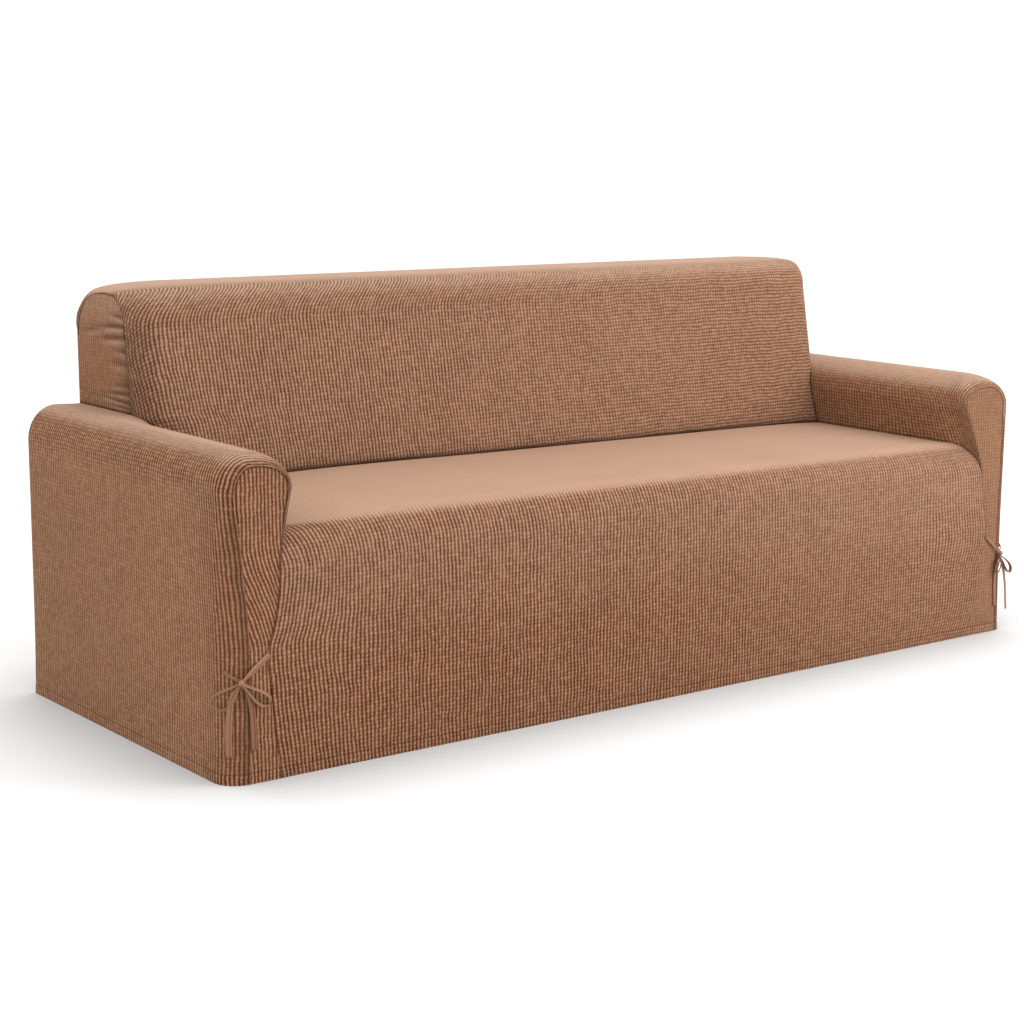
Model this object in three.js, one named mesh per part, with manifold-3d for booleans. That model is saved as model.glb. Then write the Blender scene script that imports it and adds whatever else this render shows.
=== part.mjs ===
// A fitted stretch cover for a three-seat sofa, standing empty in the shape that the sofa gives it.
// Millimetres, +Z up, front towards -Y, origin on the floor under the middle of the cover.
import * as THREE from 'three';
import { mergeVertices } from 'three/addons/utils/BufferGeometryUtils.js';
import Module from 'manifold-3d';

const wasm = await Module();
wasm.setup();

// Driving sizes of the whole cover
const frontY = -422.5; // outer face of the apron and of the arm fronts
const rearY = 428; // outer face of the outside back
const cloth = 2; // thickness of the knit
const gap = 0.3; // between two pieces where a seam joins them
const buttGap = 0.7; // where a piece's edge butts on another's curved face
const backGap = 2.4; // between an arm and the edge of the inside back
const rearR = { hem: 8, top: 26 }; // corners to the outside back

// Seat and apron: one piece, from the crease at the back over the front edge down to the hem
const seat = {
  edgeZ: 461, // height of the deck along the arms
  rollDepth: 55, // how far back the rounded front edge starts
  rollFoot: 390, // height where that edge has turned into the apron
  rows: { deck: 6, roll: 5 },
  cellsAcross: 16,
  edgeX: 905, // where the deck meets the arms
  apronPuff: 2.5, // how far the apron's middle stands proud
  crownLoss: 0.25, // share of the crown lost from here to the front
  crownLossFrom: -150,
  // crown of the deck above edgeZ, by distance from the middle
  crown: [
    { x: -905, lift: 2 },
    { x: -760, lift: 19 },
    { x: -560, lift: 25 },
    { x: -100, lift: 18 },
    { x: 450, lift: 11 },
    { x: 780, lift: 6 },
    { x: 905, lift: 0 },
  ],
};

// Heights of the rows that the apron, the arm fronts and the outer sides share, from hem to seat edge
const seamRows = [0, 84, 168, 243, 295, 340, 390];
const outerRows = [...seamRows, 440, 490, 520, 545];
const tieZ = 243;

// Arms: distances from the middle, heights at the front
// seam: the line from the arm's widest point down beside the apron, drawn out sideways at the tie
const arms = [
  {
    name: 'left', sign: -1, apexX: 984, apexZ: 618, widestX: 896, widestZ: 545, rearTuck: 905,
    wallX: 1047, cornerR: 50, backX: 927, topTurn: 190,
    seam: [
      { z: 0, x: 936 },
      { z: 84, x: 946 },
      { z: 168, x: 953 },
      { z: tieZ, x: 960 },
      { z: 295, x: 944 },
      { z: 340, x: 935 },
      { z: 390, x: 930 },
      { z: 440, x: 922 },
      { z: 490, x: 910 },
      { z: 545, x: 896 },
    ],
  },
  {
    name: 'right', sign: 1, apexX: 981, apexZ: 618, widestX: 895, widestZ: 550, rearTuck: 905,
    wallX: 1065, cornerR: 35, backX: 938, topTurn: 40,
    seam: [
      { z: 0, x: 932 },
      { z: 84, x: 966 },
      { z: 168, x: 975 },
      { z: tieZ, x: 991 },
      { z: 295, x: 984 },
      { z: 340, x: 976 },
      { z: 390, x: 968 },
      { z: 440, x: 951 },
      { z: 490, x: 925 },
      { z: 550, x: 895 },
    ],
  },
];
const side = {
  flare: 4, // how far the hem stands out from the side above it
  flareZ: 230, // height at which that flare has died out
  springZ: 545, // where the outer wall turns into the arch
  // front edge of the arm piece, turned in to its seam: how far in, and how long the turn is
  edge: {
    spring: { inset: 26, length: 30 },
    apex: { inset: 25, length: 90 },
    widest: { inset: 10, length: 16 },
    foot: { inset: 4, length: 4 },
  },
  frontPuff: 2.5, // how far the arm front's middle stands proud
  flareFrom: -352, // the inner side starts to spread here towards the front
  level: { from: 60, to: 165, drop: 2 }, // where the top's inner half comes up level beside the back
  stations: [-300, -180, -60, 40, 62, 74, 88, 106, 130, 161, 240, 320], // along Y
};
const archCells = 8;
const cornerCells = 4; // round a rear corner, and where the inside back turns to its side
const curlCells = 3; // round an arm's front edge
const innerCells = 4;
const nudge = 0.02; // of q, for reading a slope

// Back: front face, rolled front edge, top, rolled rear edge, as heights and places along Y.
// middle is the section between the arms, end the outline where it has turned to the side.
const back = {
  footZ: 455,
  lean: 0.194,
  middle: { footY: 52, rollZ: 800, topY: 190, rearTopY: 371, rearZ: -60, rearY },
  end: { rollZ: 788, topY: 245, rearTopY: 300, topZ: 855, rearZ: 760 },
  topZ: { left: 869, right: 855 }, // height of the top at the two ends of its straight part
  frontTurn: 65, // how far in from the side the front face starts to turn
  footReach: 20, // how far the turned edge lies behind the front face, at the seat
  armReach: 82, // and above the arms
  reachLoss: 0.06, // lost for each mm of height above the arms
  topCrown: 2,
  cells: { middle: 8, roll: 4, top: 3, rear: 3, side: 5 },
  frontRows: [0, 48, 88, 107, 121, 131, 139, 147, 153, 158, 205, 255, 305, 345], // above footZ
};
const armTopZ = 618; // the arm's top where the back stands on it

// Ties: each is a strap from its seam to the knot, a loop and a free tail. The inner tie's knot sits
// over the outer tie's, which is a flat pad behind it. facing is where a flat side looks, in degrees
// from the front towards +X; a strap's turns from its seam to the knot.
const tie = {
  width: 12,
  neck: 5, // width where it goes into the knot
  loopWidth: 9,
  thickness: 1.5,
  cells: { strap: 4, loop: 9, tail: 4 },
  knot: { radius: 5.2, round: 4.6, pad: 1 }, // half its depth where round, and as a pad
};
const ties = [
  {
    name: 'tie_left_inner', knot: { x: -1019.5, y: -428.3, z: 199, facing: -22, half: tie.knot.round },
    strap: { from: [{ x: -963, y: -425, z: 237 }, { x: -990, y: -428.5, z: 219 }], facing: 0 },
    loop: { x: -962, y: -430, z: 150, spread: 17, bulge: 6, tilt: 30 },
    tail: {
      to: [{ x: -1004, y: -428, z: 173 }, { x: -997, y: -426.6, z: 145 }, { x: -993, y: -426, z: 64 }],
      facing: 0,
    },
  },
  {
    name: 'tie_left_outer', knot: { x: -1015.1, y: -422.5, z: 197, facing: -22, half: tie.knot.pad },
    strap: { from: [{ x: -1043, y: -402, z: 217 }, { x: -1033, y: -415, z: 208 }], facing: -58 },
    loop: { x: -1058, y: -391, z: 148, spread: 26, bulge: 9, tilt: 38 },
    tail: {
      to: [{ x: -1031, y: -416, z: 170 }, { x: -1037, y: -411.5, z: 130 }, { x: -1039, y: -410.5, z: 55 }],
      facing: -45,
    },
  },
  {
    name: 'tie_right_inner', knot: { x: 1040, y: -431, z: 190, facing: 20, half: tie.knot.round },
    strap: { from: [{ x: 993, y: -425, z: 235 }, { x: 1012, y: -429, z: 216 }], facing: 0 },
    loop: { x: 1026, y: -435, z: 144, spread: 11, bulge: 3, tilt: 60 },
    tail: {
      to: [{ x: 1031, y: -430, z: 167 }, { x: 1030, y: -425.5, z: 130 }, { x: 1034, y: -425, z: 61 }],
      facing: 8,
    },
  },
  {
    name: 'tie_right_outer', knot: { x: 1039, y: -423.4, z: 189, facing: 14, half: tie.knot.pad },
    strap: {
      from: [{ x: 1067.8, y: -380, z: 212 }, { x: 1066.7, y: -399, z: 206 }, { x: 1057.5, y: -415, z: 199 }],
      facing: 90,
    },
    loop: { x: 1071, y: -435, z: 143, spread: 15, bulge: 3, tilt: 12 },
    tail: {
      to: [{ x: 1050, y: -428, z: 164 }, { x: 1055, y: -433, z: 130 }, { x: 1063, y: -434, z: 53 }],
      facing: 25,
    },
  },
];

const { lerp, smoothstep, clamp } = THREE.MathUtils;

// A smooth line through the rows of a table, read at one of its columns
function through(table, key, value, at) {
  let i = 0;
  while (i < table.length - 2 && at > table[i + 1][key]) i += 1;
  const slope = (k) => {
    const a = table[Math.max(k - 1, 0)];
    const b = table[Math.min(k + 1, table.length - 1)];
    return (b[value] - a[value]) / (b[key] - a[key]);
  };
  const span = table[i + 1][key] - table[i][key];
  const t = clamp((at - table[i][key]) / span, 0, 1);
  const ease = t * t * (3 - 2 * t);
  const leave = t * (1 - t) * (1 - t) * span * slope(i);
  const arrive = t * t * (t - 1) * span * slope(i + 1);
  return lerp(table[i][value], table[i + 1][value], ease) + leave + arrive;
}

// The value of t between low and high at which a falling function of t reaches zero
function solve(f, low, high) {
  for (let i = 0; i < 40; i += 1) {
    const middle = (low + high) / 2;
    if (f(middle) > 0) low = middle;
    else high = middle;
  }
  return (low + high) / 2;
}

const steps = (count, from = 0, to = 1) =>
  Array.from({ length: count + 1 }, (_, i) => lerp(from, to, i / count));

// The arm's outline across the sofa at one place along it. q runs 0 to 1 up the outer wall,
// to 2 over the outer half of the arch, to 3 over the inner half and to 4 down the inner side.
function armOutline(arm, q, y) {
  if (q <= 1) {
    const z = through(outerRows.map((row, i) => ({ i, row })), 'i', 'row', q * (outerRows.length - 1));
    const flare = Math.max(0, 1 - z / side.flareZ) ** 2;
    return { x: arm.wallX + side.flare * flare, z };
  }
  if (q <= 2) {
    const turn = ((q - 1) * Math.PI) / 2;
    return {
      x: arm.apexX + (arm.wallX - arm.apexX) * Math.cos(turn),
      z: side.springZ + (arm.apexZ - side.springZ) * Math.sin(turn),
    };
  }
  if (q <= 3) {
    const turn = ((3 - q) * Math.PI) / 2;
    const round = arm.widestZ + (arm.apexZ - arm.widestZ) * Math.sin(turn);
    const flat = smoothstep(y, side.level.from, side.level.to);
    return {
      x: arm.apexX - (arm.apexX - arm.widestX) * Math.cos(turn),
      z: lerp(round, arm.apexZ - side.level.drop, flat),
    };
  }
  const z = lerp(arm.widestZ, seat.rollFoot, q - 3);
  return { x: innerSide(arm, z, y), z };
}

// How far from the middle the arm's inner side lies at a height below its widest point
function innerSide(arm, z, y) {
  const front = through(arm.seam, 'z', 'x', z);
  const rear = lerp(arm.widestX, arm.rearTuck, (arm.widestZ - z) / (arm.widestZ - seat.edgeZ));
  return lerp(rear, front, smoothstep(-y, -side.flareFrom, -frontY));
}

function outward(arm, q, y) {
  const a = armOutline(arm, Math.max(q - nudge, 0), y);
  const b = armOutline(arm, Math.min(q + nudge, 4), y);
  const along = new THREE.Vector2(b.x - a.x, b.z - a.z).normalize();
  return { x: along.y, z: -along.x };
}

// How the arm piece's front edge turns in to its seam: how far in, and how long the turn is
function frontTurn(arm, q) {
  const { spring, apex, widest, foot } = side.edge;
  const corner = { inset: arm.cornerR, length: arm.cornerR };
  const at = (key) => {
    const wall = lerp(corner[key], spring[key], smoothstep(q, 0.3, 1));
    const outer = lerp(wall, apex[key], smoothstep(q, 1, 2));
    const inner = lerp(outer, widest[key], smoothstep(q, 2, 3));
    return lerp(inner, foot[key], smoothstep(q, 3, 4));
  };
  return { inset: at('inset'), length: at('length') };
}

const rearRadius = (q) => lerp(rearR.hem, rearR.top, smoothstep(q, 0, 1));

// How far the rear corner has drawn in at a place along Y, at its full radius
function rearDrop(y) {
  const into = clamp((y - rearY) / rearR.top + 1, 0, 1);
  return rearR.top * (1 - Math.sqrt(1 - into * into));
}

// A point of the arm piece. turn is 0 on the arm itself and 1 where an end corner has turned
// square to it; end says which corner.
function armPoint(arm, q, y, turn = 0, end = 'front') {
  const outline = armOutline(arm, q, y);
  const n = outward(arm, q, y);
  const reach = end === 'front' ? frontTurn(arm, q).inset : rearRadius(q);
  const inset = reach * (1 - Math.cos((turn * Math.PI) / 2));
  const z = q > 0 ? outline.z - n.z * inset : 0;
  return new THREE.Vector3(arm.sign * (outline.x - n.x * inset), y, z);
}

const faceY = (z) => back.middle.footY + (z - back.footZ) * back.lean;

// The section of the back at distance x from the middle. q runs 0 to 1 up the front face,
// to 2 over the front edge, to 3 along the top and to 4 over the rear edge.
function backMiddle(x, q) {
  const s = back.middle;
  const share = (x + arms[0].backX) / (arms[0].backX + arms[1].backX);
  const topZ = lerp(back.topZ.left, back.topZ.right, share);
  return roundSection(q, { ...s, topZ, rearZ: topZ + s.rearZ, frontAt: faceY });
}

function backEnd(q) {
  const s = back.end;
  const frontAt = (z) => {
    const settled = lerp(back.footReach, back.armReach, smoothstep(z, back.footZ, armTopZ));
    return faceY(z) + settled - back.reachLoss * Math.max(0, z - armTopZ);
  };
  return roundSection(q, { ...s, frontAt, rearY: rearY - rearR.top });
}

function roundSection(q, s) {
  if (q <= 1) {
    const z = lerp(back.footZ, s.rollZ, q);
    return { y: s.frontAt(z), z };
  }
  if (q <= 2) {
    const turn = ((q - 1) * Math.PI) / 2;
    const start = s.frontAt(s.rollZ);
    const y = s.topY - (s.topY - start) * Math.cos(turn);
    return { y, z: s.rollZ + (s.topZ - s.rollZ) * Math.sin(turn) };
  }
  if (q <= 3) {
    const crown = back.topCrown * Math.sin((q - 2) * Math.PI);
    return { y: lerp(s.topY, s.rearTopY, q - 2), z: s.topZ + crown };
  }
  const turn = ((q - 3) * Math.PI) / 2;
  const y = s.rearTopY + (s.rearY - s.rearTopY) * Math.sin(turn);
  return { y, z: s.rearZ + (s.topZ - s.rearZ) * Math.cos(turn) };
}

function turnLength(arm, q) {
  if (q <= 2) return lerp(back.frontTurn, arm.topTurn, smoothstep(q, 1, 2));
  return lerp(arm.topTurn, rearR.top, smoothstep(q, 3, 4));
}

// A point of the inside back. turn is 0 where the section starts to turn to the side and 1 on it.
function backPoint(arm, q, turn) {
  const angle = (turn * Math.PI) / 2;
  const x = arm.sign * (arm.backX - turnLength(arm, q) * (1 - Math.sin(angle)));
  const from = backMiddle(x, q);
  const to = backEnd(q);
  const share = 1 - Math.cos(angle);
  return new THREE.Vector3(x, lerp(from.y, to.y, share), lerp(from.z, to.z, share));
}

// How far the turn goes before the surface meets something at distance x from the middle
function turnAt(arm, q, x) {
  const s = 1 - (arm.backX - x) / turnLength(arm, q);
  return (Math.asin(clamp(s, 0, 1)) * 2) / Math.PI;
}

// Distance from the middle of the arm's inner half at a height, or beyond the side above the arm
function armFaceX(arm, z, y) {
  if (z <= arm.widestZ) return innerSide(arm, z, y);
  if (armOutline(arm, 2, y).z <= z) return arm.backX;
  const q = solve((t) => armOutline(arm, t, y).z - z, 2, 3);
  return armOutline(arm, q, y).x;
}

// The front face of the back where it meets the arm at q on its outline
function backOverArm(arm, q, y) {
  const p = armOutline(arm, q, y);
  const qBack = clamp((p.z - back.footZ) / (back.middle.rollZ - back.footZ), 0, 1);
  return backPoint(arm, qBack, turnAt(arm, qBack, Math.min(p.x, arm.backX))).y;
}

// Deck height at a place, and the rounded front edge: t is 0 where it starts and 1 at its foot
function deckZ(x, y) {
  const lift = through(seat.crown, 'x', 'lift', clamp(x, -seat.edgeX, seat.edgeX));
  return seat.edgeZ + lift * (1 - seat.crownLoss * smoothstep(-y, -seat.crownLossFrom, -frontY));
}

function seatEdge(x, t) {
  const angle = (t * Math.PI) / 2;
  const startY = frontY + seat.rollDepth;
  const topZ = deckZ(x, startY);
  return {
    y: startY - seat.rollDepth * Math.sin(angle),
    z: seat.rollFoot + (topZ - seat.rollFoot) * Math.cos(angle),
  };
}

// Where the arm piece ends on its inner side, as q on its outline, at a place along the arm
function armEnd(arm, y) {
  const startY = frontY + seat.rollDepth;
  const under = cloth + gap;
  const seatQ = (z) => 3 + (arm.widestZ - z) / (arm.widestZ - seat.rollFoot);
  if (y <= startY) {
    const t = (Math.asin(clamp((startY - y) / seat.rollDepth, 0, 1)) * 2) / Math.PI;
    return clamp(seatQ(seatEdge(arm.sign * seat.edgeX, t).z - under * (1 - t)), 3, 4);
  }
  const low = seatQ(deckZ(arm.sign * seat.edgeX, y) - under);
  if (backOverArm(arm, low, y) + cloth >= y) return low;
  const inner = arm.backX - cloth;
  const atSide = solve((q) => armOutline(arm, q, y).x - inner, 2, 3);
  if (backOverArm(arm, atSide, y) + cloth <= y) return atSide;
  return solve((q) => backOverArm(arm, q, y) + cloth - y, atSide, low);
}

// The same round the rear corner, where it runs beside the gusset's foot
function armRearEnd(arm, y) {
  const reach = arm.backX + buttGap - rearDrop(y);
  return solve((t) => armOutline(arm, t, y).x - reach, 2, 3);
}

// Rows of the arm piece: fixed up the outer wall, then shared out as far as the piece reaches
const armRows = [
  ...outerRows.map((_, i) => i / (outerRows.length - 1)),
  ...steps(archCells, 1, 3).slice(1),
  ...steps(innerCells, 3, 4).slice(1),
];
const armRowAt = (q, end) => (q <= 1 ? q : 1 + ((q - 1) * (end - 1)) / 3);

// A sheet of cloth: a grid of points on one face, the other face a thickness away and a rim between.
// The grid's own front is columns x rows. behind is 1 where the cloth lies behind it, -1 in front.
function sheet(grid, behind, thickness = cloth) {
  const rows = grid.length;
  const columns = grid[0].length;
  const tangent = (k, last, at) => {
    if (k > 0 && k < last) return at(k + 1).clone().sub(at(k - 1));
    const step = k === 0 ? 1 : -1;
    const curved = at(k + step).clone().multiplyScalar(4).addScaledVector(at(k), -3);
    return (last > 1 ? curved.sub(at(k + 2 * step)) : at(k + step).clone().sub(at(k))).multiplyScalar(step);
  };
  const inner = grid.map((line, i) => line.map((p, j) => {
    const along = tangent(i, rows - 1, (k) => grid[k][j]);
    const across = tangent(j, columns - 1, (k) => line[k]);
    const n = across.cross(along);
    if (p.z < gap) n.z = 0; // the hem stands square on the floor
    return p.clone().addScaledVector(n.normalize(), -behind * thickness);
  }));
  const points = [...grid.flat(), ...inner.flat()];
  const index = [];
  const quad = (a, b, c, d) => index.push(...(behind > 0 ? [a, b, c, a, c, d] : [a, c, b, a, d, c]));
  const top = (i, j) => i * columns + j;
  const low = (i, j) => rows * columns + i * columns + j;
  for (let i = 0; i < rows - 1; i += 1) {
    for (let j = 0; j < columns - 1; j += 1) {
      quad(top(i, j), top(i, j + 1), top(i + 1, j + 1), top(i + 1, j));
      quad(low(i, j), low(i + 1, j), low(i + 1, j + 1), low(i, j + 1));
    }
  }
  for (let j = 0; j < columns - 1; j += 1) {
    quad(top(0, j), low(0, j), low(0, j + 1), top(0, j + 1));
    quad(top(rows - 1, j), top(rows - 1, j + 1), low(rows - 1, j + 1), low(rows - 1, j));
  }
  for (let i = 0; i < rows - 1; i += 1) {
    quad(top(i, 0), top(i + 1, 0), low(i + 1, 0), low(i, 0));
    quad(top(i, columns - 1), low(i, columns - 1), low(i + 1, columns - 1), top(i + 1, columns - 1));
  }
  const geometry = new THREE.BufferGeometry();
  geometry.setAttribute('position', new THREE.Float32BufferAttribute(points.flatMap((p) => p.toArray()), 3));
  geometry.setIndex(index);
  return geometry;
}

// A sheet's grid filled in between its four edges, which meet at their ends
function between(bottom, top, left, right) {
  const columns = bottom.length - 1;
  const rows = left.length - 1;
  return left.map((_, i) => bottom.map((__, j) => {
    const u = j / columns;
    const v = i / rows;
    const p = new THREE.Vector3();
    p.addScaledVector(bottom[j], 1 - v).addScaledVector(top[j], v);
    p.addScaledVector(left[i], 1 - u).addScaledVector(right[i], u);
    p.addScaledVector(bottom[0], -(1 - u) * (1 - v)).addScaledVector(bottom[columns], -u * (1 - v));
    p.addScaledVector(top[0], -(1 - u) * v).addScaledVector(top[columns], -u * v);
    return p;
  }));
}

// Seat and apron in one
function seatFront() {
  const shares = steps(seat.cellsAcross);
  const reach = (arm, z, y) => arm.sign * (armFaceX(arm, z, y) - buttGap);
  const row = (leftX, rightX, place) => shares.map((share) => {
    const x = lerp(leftX, rightX, share);
    const { y, z } = place(x, share);
    return new THREE.Vector3(x, y, z);
  });
  const rearY0 = back.middle.footY - 3 * buttGap;
  const deck = steps(seat.rows.deck, rearY0, frontY + seat.rollDepth).map((y) =>
    row(...arms.map((arm) => reach(arm, deckZ(arm.sign * seat.edgeX, y), y)), (x) =>
      ({ y, z: deckZ(x, y) })));
  const roll = steps(seat.rows.roll).slice(1, -1).map((t) => {
    const edges = arms.map((arm) => {
      const { y, z } = seatEdge(arm.sign * seat.edgeX, t);
      return reach(arm, z, y);
    });
    return row(edges[0], edges[1], (x) => seatEdge(x, t));
  });
  const apron = [...seamRows].reverse().map((z) => {
    const edges = arms.map((arm) => arm.sign * (through(arm.seam, 'z', 'x', z) - gap));
    const puff = seat.apronPuff * Math.sin((z / seat.rollFoot) * Math.PI);
    return row(edges[0], edges[1], (x, share) => ({ y: frontY - puff * Math.sin(share * Math.PI), z }));
  });
  return sheet([...deck, ...roll, ...apron], -1);
}

// Inside back and top in one. Its cloth lies outside the grid, so its edges lap over the sides' edges.
function backFrontTop() {
  const { cells } = back;
  const heights = back.middle.rollZ - back.footZ;
  const rows = [
    ...back.frontRows.map((z) => z / heights),
    ...steps(cells.roll, 1, 2).slice(1),
    ...steps(cells.top, 2, 3).slice(1),
    ...steps(cells.rear, 3, 4).slice(1),
  ];
  const grid = rows.map((q) => {
    const ends = arms.map((arm) => {
      const z = back.footZ + q * heights;
      if (z >= armTopZ) return 1;
      let turn = 0.5;
      for (let i = 0; i < 4; i += 1) {
        const y = backPoint(arm, q, turn).y;
        turn = turnAt(arm, q, Math.min(armFaceX(arm, z, y) - backGap, arm.backX));
      }
      return turn;
    });
    const straight = arms.map((arm) => arm.sign * (arm.backX - turnLength(arm, q)));
    return [
      ...steps(cornerCells, ends[0], 0).map((turn) => backPoint(arms[0], q, turn)),
      ...steps(cells.middle, ...straight).slice(1, -1).map((x) => {
        const { y, z } = backMiddle(x, q);
        return new THREE.Vector3(x, y, z);
      }),
      ...steps(cornerCells, 0, ends[1]).map((turn) => backPoint(arms[1], q, turn)),
    ];
  });
  return sheet(grid, -1);
}

// Arm: outer side, top and inner side in one
function armPiece(arm) {
  const curl = steps(curlCells, 1, 0);
  const grid = armRows.map((q) => {
    const { length } = frontTurn(arm, q);
    const front = curl.map((turn) => {
      const y = frontY + length * (1 - Math.sin((turn * Math.PI) / 2));
      return armPoint(arm, armRowAt(q, armEnd(arm, y)), y, turn);
    });
    const r = rearRadius(armRowAt(q, 3));
    const run = [...side.stations, rearY - r].map((y) =>
      armPoint(arm, armRowAt(q, armEnd(arm, y)), y));
    const corner = steps(cornerCells).slice(1).map((turn) => {
      const y = rearY - r * (1 - Math.sin((turn * Math.PI) / 2));
      return armPoint(arm, armRowAt(q, armRearEnd(arm, y)), y, turn, 'rear');
    });
    return [...front, ...run, ...corner];
  });
  return sheet(grid, arm.sign);
}

// The front edge of the arm piece, moved in by a gap: the outline of the arm front
function armFrontEdge(arm) {
  return armRows.map((q) => {
    const p = armPoint(arm, armRowAt(q, 4), frontY, 1);
    const n = outward(arm, q, frontY);
    return new THREE.Vector3(p.x - arm.sign * n.x * gap, frontY, p.z < gap ? 0 : p.z - n.z * gap);
  });
}

function armFront(arm) {
  const edge = armFrontEdge(arm);
  const shoulder = outerRows.length - 1 + archCells / 4; // halfway up the outer half of the arch
  const across = archCells / 2;
  const left = edge.slice(0, shoulder + 1);
  const top = edge.slice(shoulder, shoulder + across + 1);
  const seamX = (z) => arm.sign * (through(arm.seam, 'z', 'x', z) + gap);
  const right = [
    ...seamRows.slice(0, -1).map((z) => new THREE.Vector3(seamX(z), frontY, z)),
    ...edge.slice(shoulder + across).reverse(),
  ];
  const bottom = steps(across).map((u) => left[0].clone().lerp(right[0], u));
  const grid = between(bottom, top, left, right);
  grid.forEach((line, i) => line.forEach((p, j) => {
    p.y -= side.frontPuff * Math.sin((i / (grid.length - 1)) * Math.PI) * Math.sin((j / across) * Math.PI);
  }));
  return sheet(grid, -arm.sign);
}

// Height of the arm's top at a place beside the back, down round its rear corner too
function armTopAt(arm, x, y) {
  const q = solve((t) => armOutline(arm, t, y).x - x, 2, 3);
  return armOutline(arm, q, y).z - rearDrop(y);
}

// Side of the back above the arm: flat, then round the rear corner to the outside back
function backSide(arm) {
  const { cells, end } = back;
  const corner = steps(cornerCells).slice(1);
  const heights = end.rollZ - back.footZ;
  const sideAt = (y, z, turn = 0) => {
    const angle = (turn * Math.PI) / 2;
    const x = arm.backX - rearR.top * (1 - Math.cos(angle));
    return new THREE.Vector3(arm.sign * x, y + rearR.top * Math.sin(angle), z);
  };
  const onArm = (y, turn = 0) => {
    const p = sideAt(y, 0, turn);
    p.z = armTopAt(arm, Math.abs(p.x), p.y) + buttGap;
    return p;
  };
  const edgeAt = (q) => {
    const a = backEnd(q - nudge / 2);
    const b = backEnd(q + nudge / 2);
    const n = new THREE.Vector2(b.z - a.z, a.y - b.y).normalize();
    const p = backEnd(q);
    return sideAt(p.y + n.x * gap, p.z + n.y * gap);
  };
  const over = [
    ...steps(cells.roll, 1, 2).slice(1),
    ...steps(cells.top, 2, 3).slice(1),
    ...steps(cells.rear, 3, 4).slice(1),
  ].map(edgeAt);
  const rear = rearY - rearR.top;
  over[over.length - 1].y = rear;
  const firstY = backEnd((armTopZ - back.footZ) / heights).y + gap;
  const bottom = [
    ...steps(over.length, firstY, rear).map((y) => onArm(y)),
    ...corner.map((turn) => onArm(rear, turn)),
  ];
  const low = (bottom[0].z - back.footZ) / heights;
  const left = [bottom[0], ...steps(cells.side, low, 1).slice(1).map(edgeAt)];
  const top = [
    left[cells.side],
    ...over,
    ...corner.map((turn) => sideAt(rear, backPoint(arm, 4, 1 - turn).z - gap, turn)),
  ];
  const right = steps(cells.side).map((v) => bottom[bottom.length - 1].clone().lerp(top[top.length - 1], v));
  return sheet(between(bottom, top, left, right), arm.sign);
}

// Outside back: one flat piece from the top seam to the hem, stepped round the arms
function backOuter() {
  const shape = new THREE.Shape();
  const halves = arms.map((arm) => {
    const rim = armRows.map((q) => {
      const at = armRowAt(q, armRearEnd(arm, rearY));
      const p = armPoint(arm, at, rearY, 1, 'rear');
      const n = outward(arm, at, rearY);
      return new THREE.Vector2(p.x - arm.sign * n.x * buttGap, p.z < gap ? 0 : p.z - n.z * buttGap);
    });
    const x = arm.sign * (arm.backX - rearR.top - gap);
    const z = backPoint(arm, 4, 0).z - gap;
    const low = rim.filter((p) => Math.abs(p.x) > Math.abs(x));
    return [...low, new THREE.Vector2(x, low[low.length - 1].y), new THREE.Vector2(x, z)];
  });
  shape.setFromPoints([...halves[0], ...halves[1].reverse()]);
  const geometry = new THREE.ExtrudeGeometry(shape, { depth: cloth, bevelEnabled: false });
  geometry.rotateX(Math.PI / 2);
  geometry.translate(0, rearY, 0);
  return geometry;
}

const place = ({ x, y, z }) => new THREE.Vector3(x, y, z);
const facingAt = (degrees) =>
  new THREE.Vector3(0, -1, 0).applyAxisAngle(new THREE.Vector3(0, 0, 1), THREE.MathUtils.degToRad(degrees));

// A strip along a smooth route: spanAt gives the width and its direction at each share of the way
function strip(route, cells, spanAt) {
  return sheet(steps(cells).map((t) => {
    const half = spanAt(t, route.getTangent(t)).multiplyScalar(0.5);
    const middle = route.getPoint(t);
    return [middle.clone().sub(half), middle.clone().add(half)];
  }), 1, tie.thickness);
}

function flatStrip(places, cells, widthAt, facing) {
  return strip(new THREE.CatmullRomCurve3(places), cells, (t, along) =>
    along.cross(facingAt(lerp(facing[0], facing[1], t))).setLength(widthAt(t)));
}

// A loop out from the knot to its tip and back, drop-shaped
class Drop extends THREE.Curve {
  constructor(knot, tip, across, outward) {
    super();
    Object.assign(this, { knot, tip, across, outward });
  }

  getPoint(t) {
    const turn = 2 * Math.PI * t;
    const out = (1 - Math.cos(turn)) / 2;
    return this.knot.clone().lerp(this.tip, out)
      .addScaledVector(this.across, Math.sin(turn) * out)
      .addScaledVector(this.outward, Math.sin(out * Math.PI));
  }
}

function tieLoop({ knot, loop }) {
  const outward = facingAt(knot.facing);
  const across = place(loop).sub(place(knot)).cross(outward).setLength(loop.spread);
  const drop = new Drop(place(knot), place(loop), across, outward.clone().multiplyScalar(loop.bulge));
  const tilt = THREE.MathUtils.degToRad(loop.tilt);
  return strip(drop, tie.cells.loop, (t) => {
    const share = Math.sin(t * Math.PI);
    const lean = lerp(Math.PI / 2, tilt, smoothstep(share, 0, 0.6));
    const span = outward.clone().multiplyScalar(Math.cos(lean));
    span.addScaledVector(across, Math.sin(lean) / loop.spread);
    return span.setLength(lerp(tie.neck, tie.loopWidth, share));
  });
}

function solid(geometry) {
  const bare = geometry.clone();
  ['normal', 'uv'].forEach((name) => bare.deleteAttribute(name));
  const merged = mergeVertices(bare);
  return new wasm.Manifold(new wasm.Mesh({
    numProp: 3,
    vertProperties: new Float32Array(merged.attributes.position.array),
    triVerts: new Uint32Array(merged.index.array),
  }));
}

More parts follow.
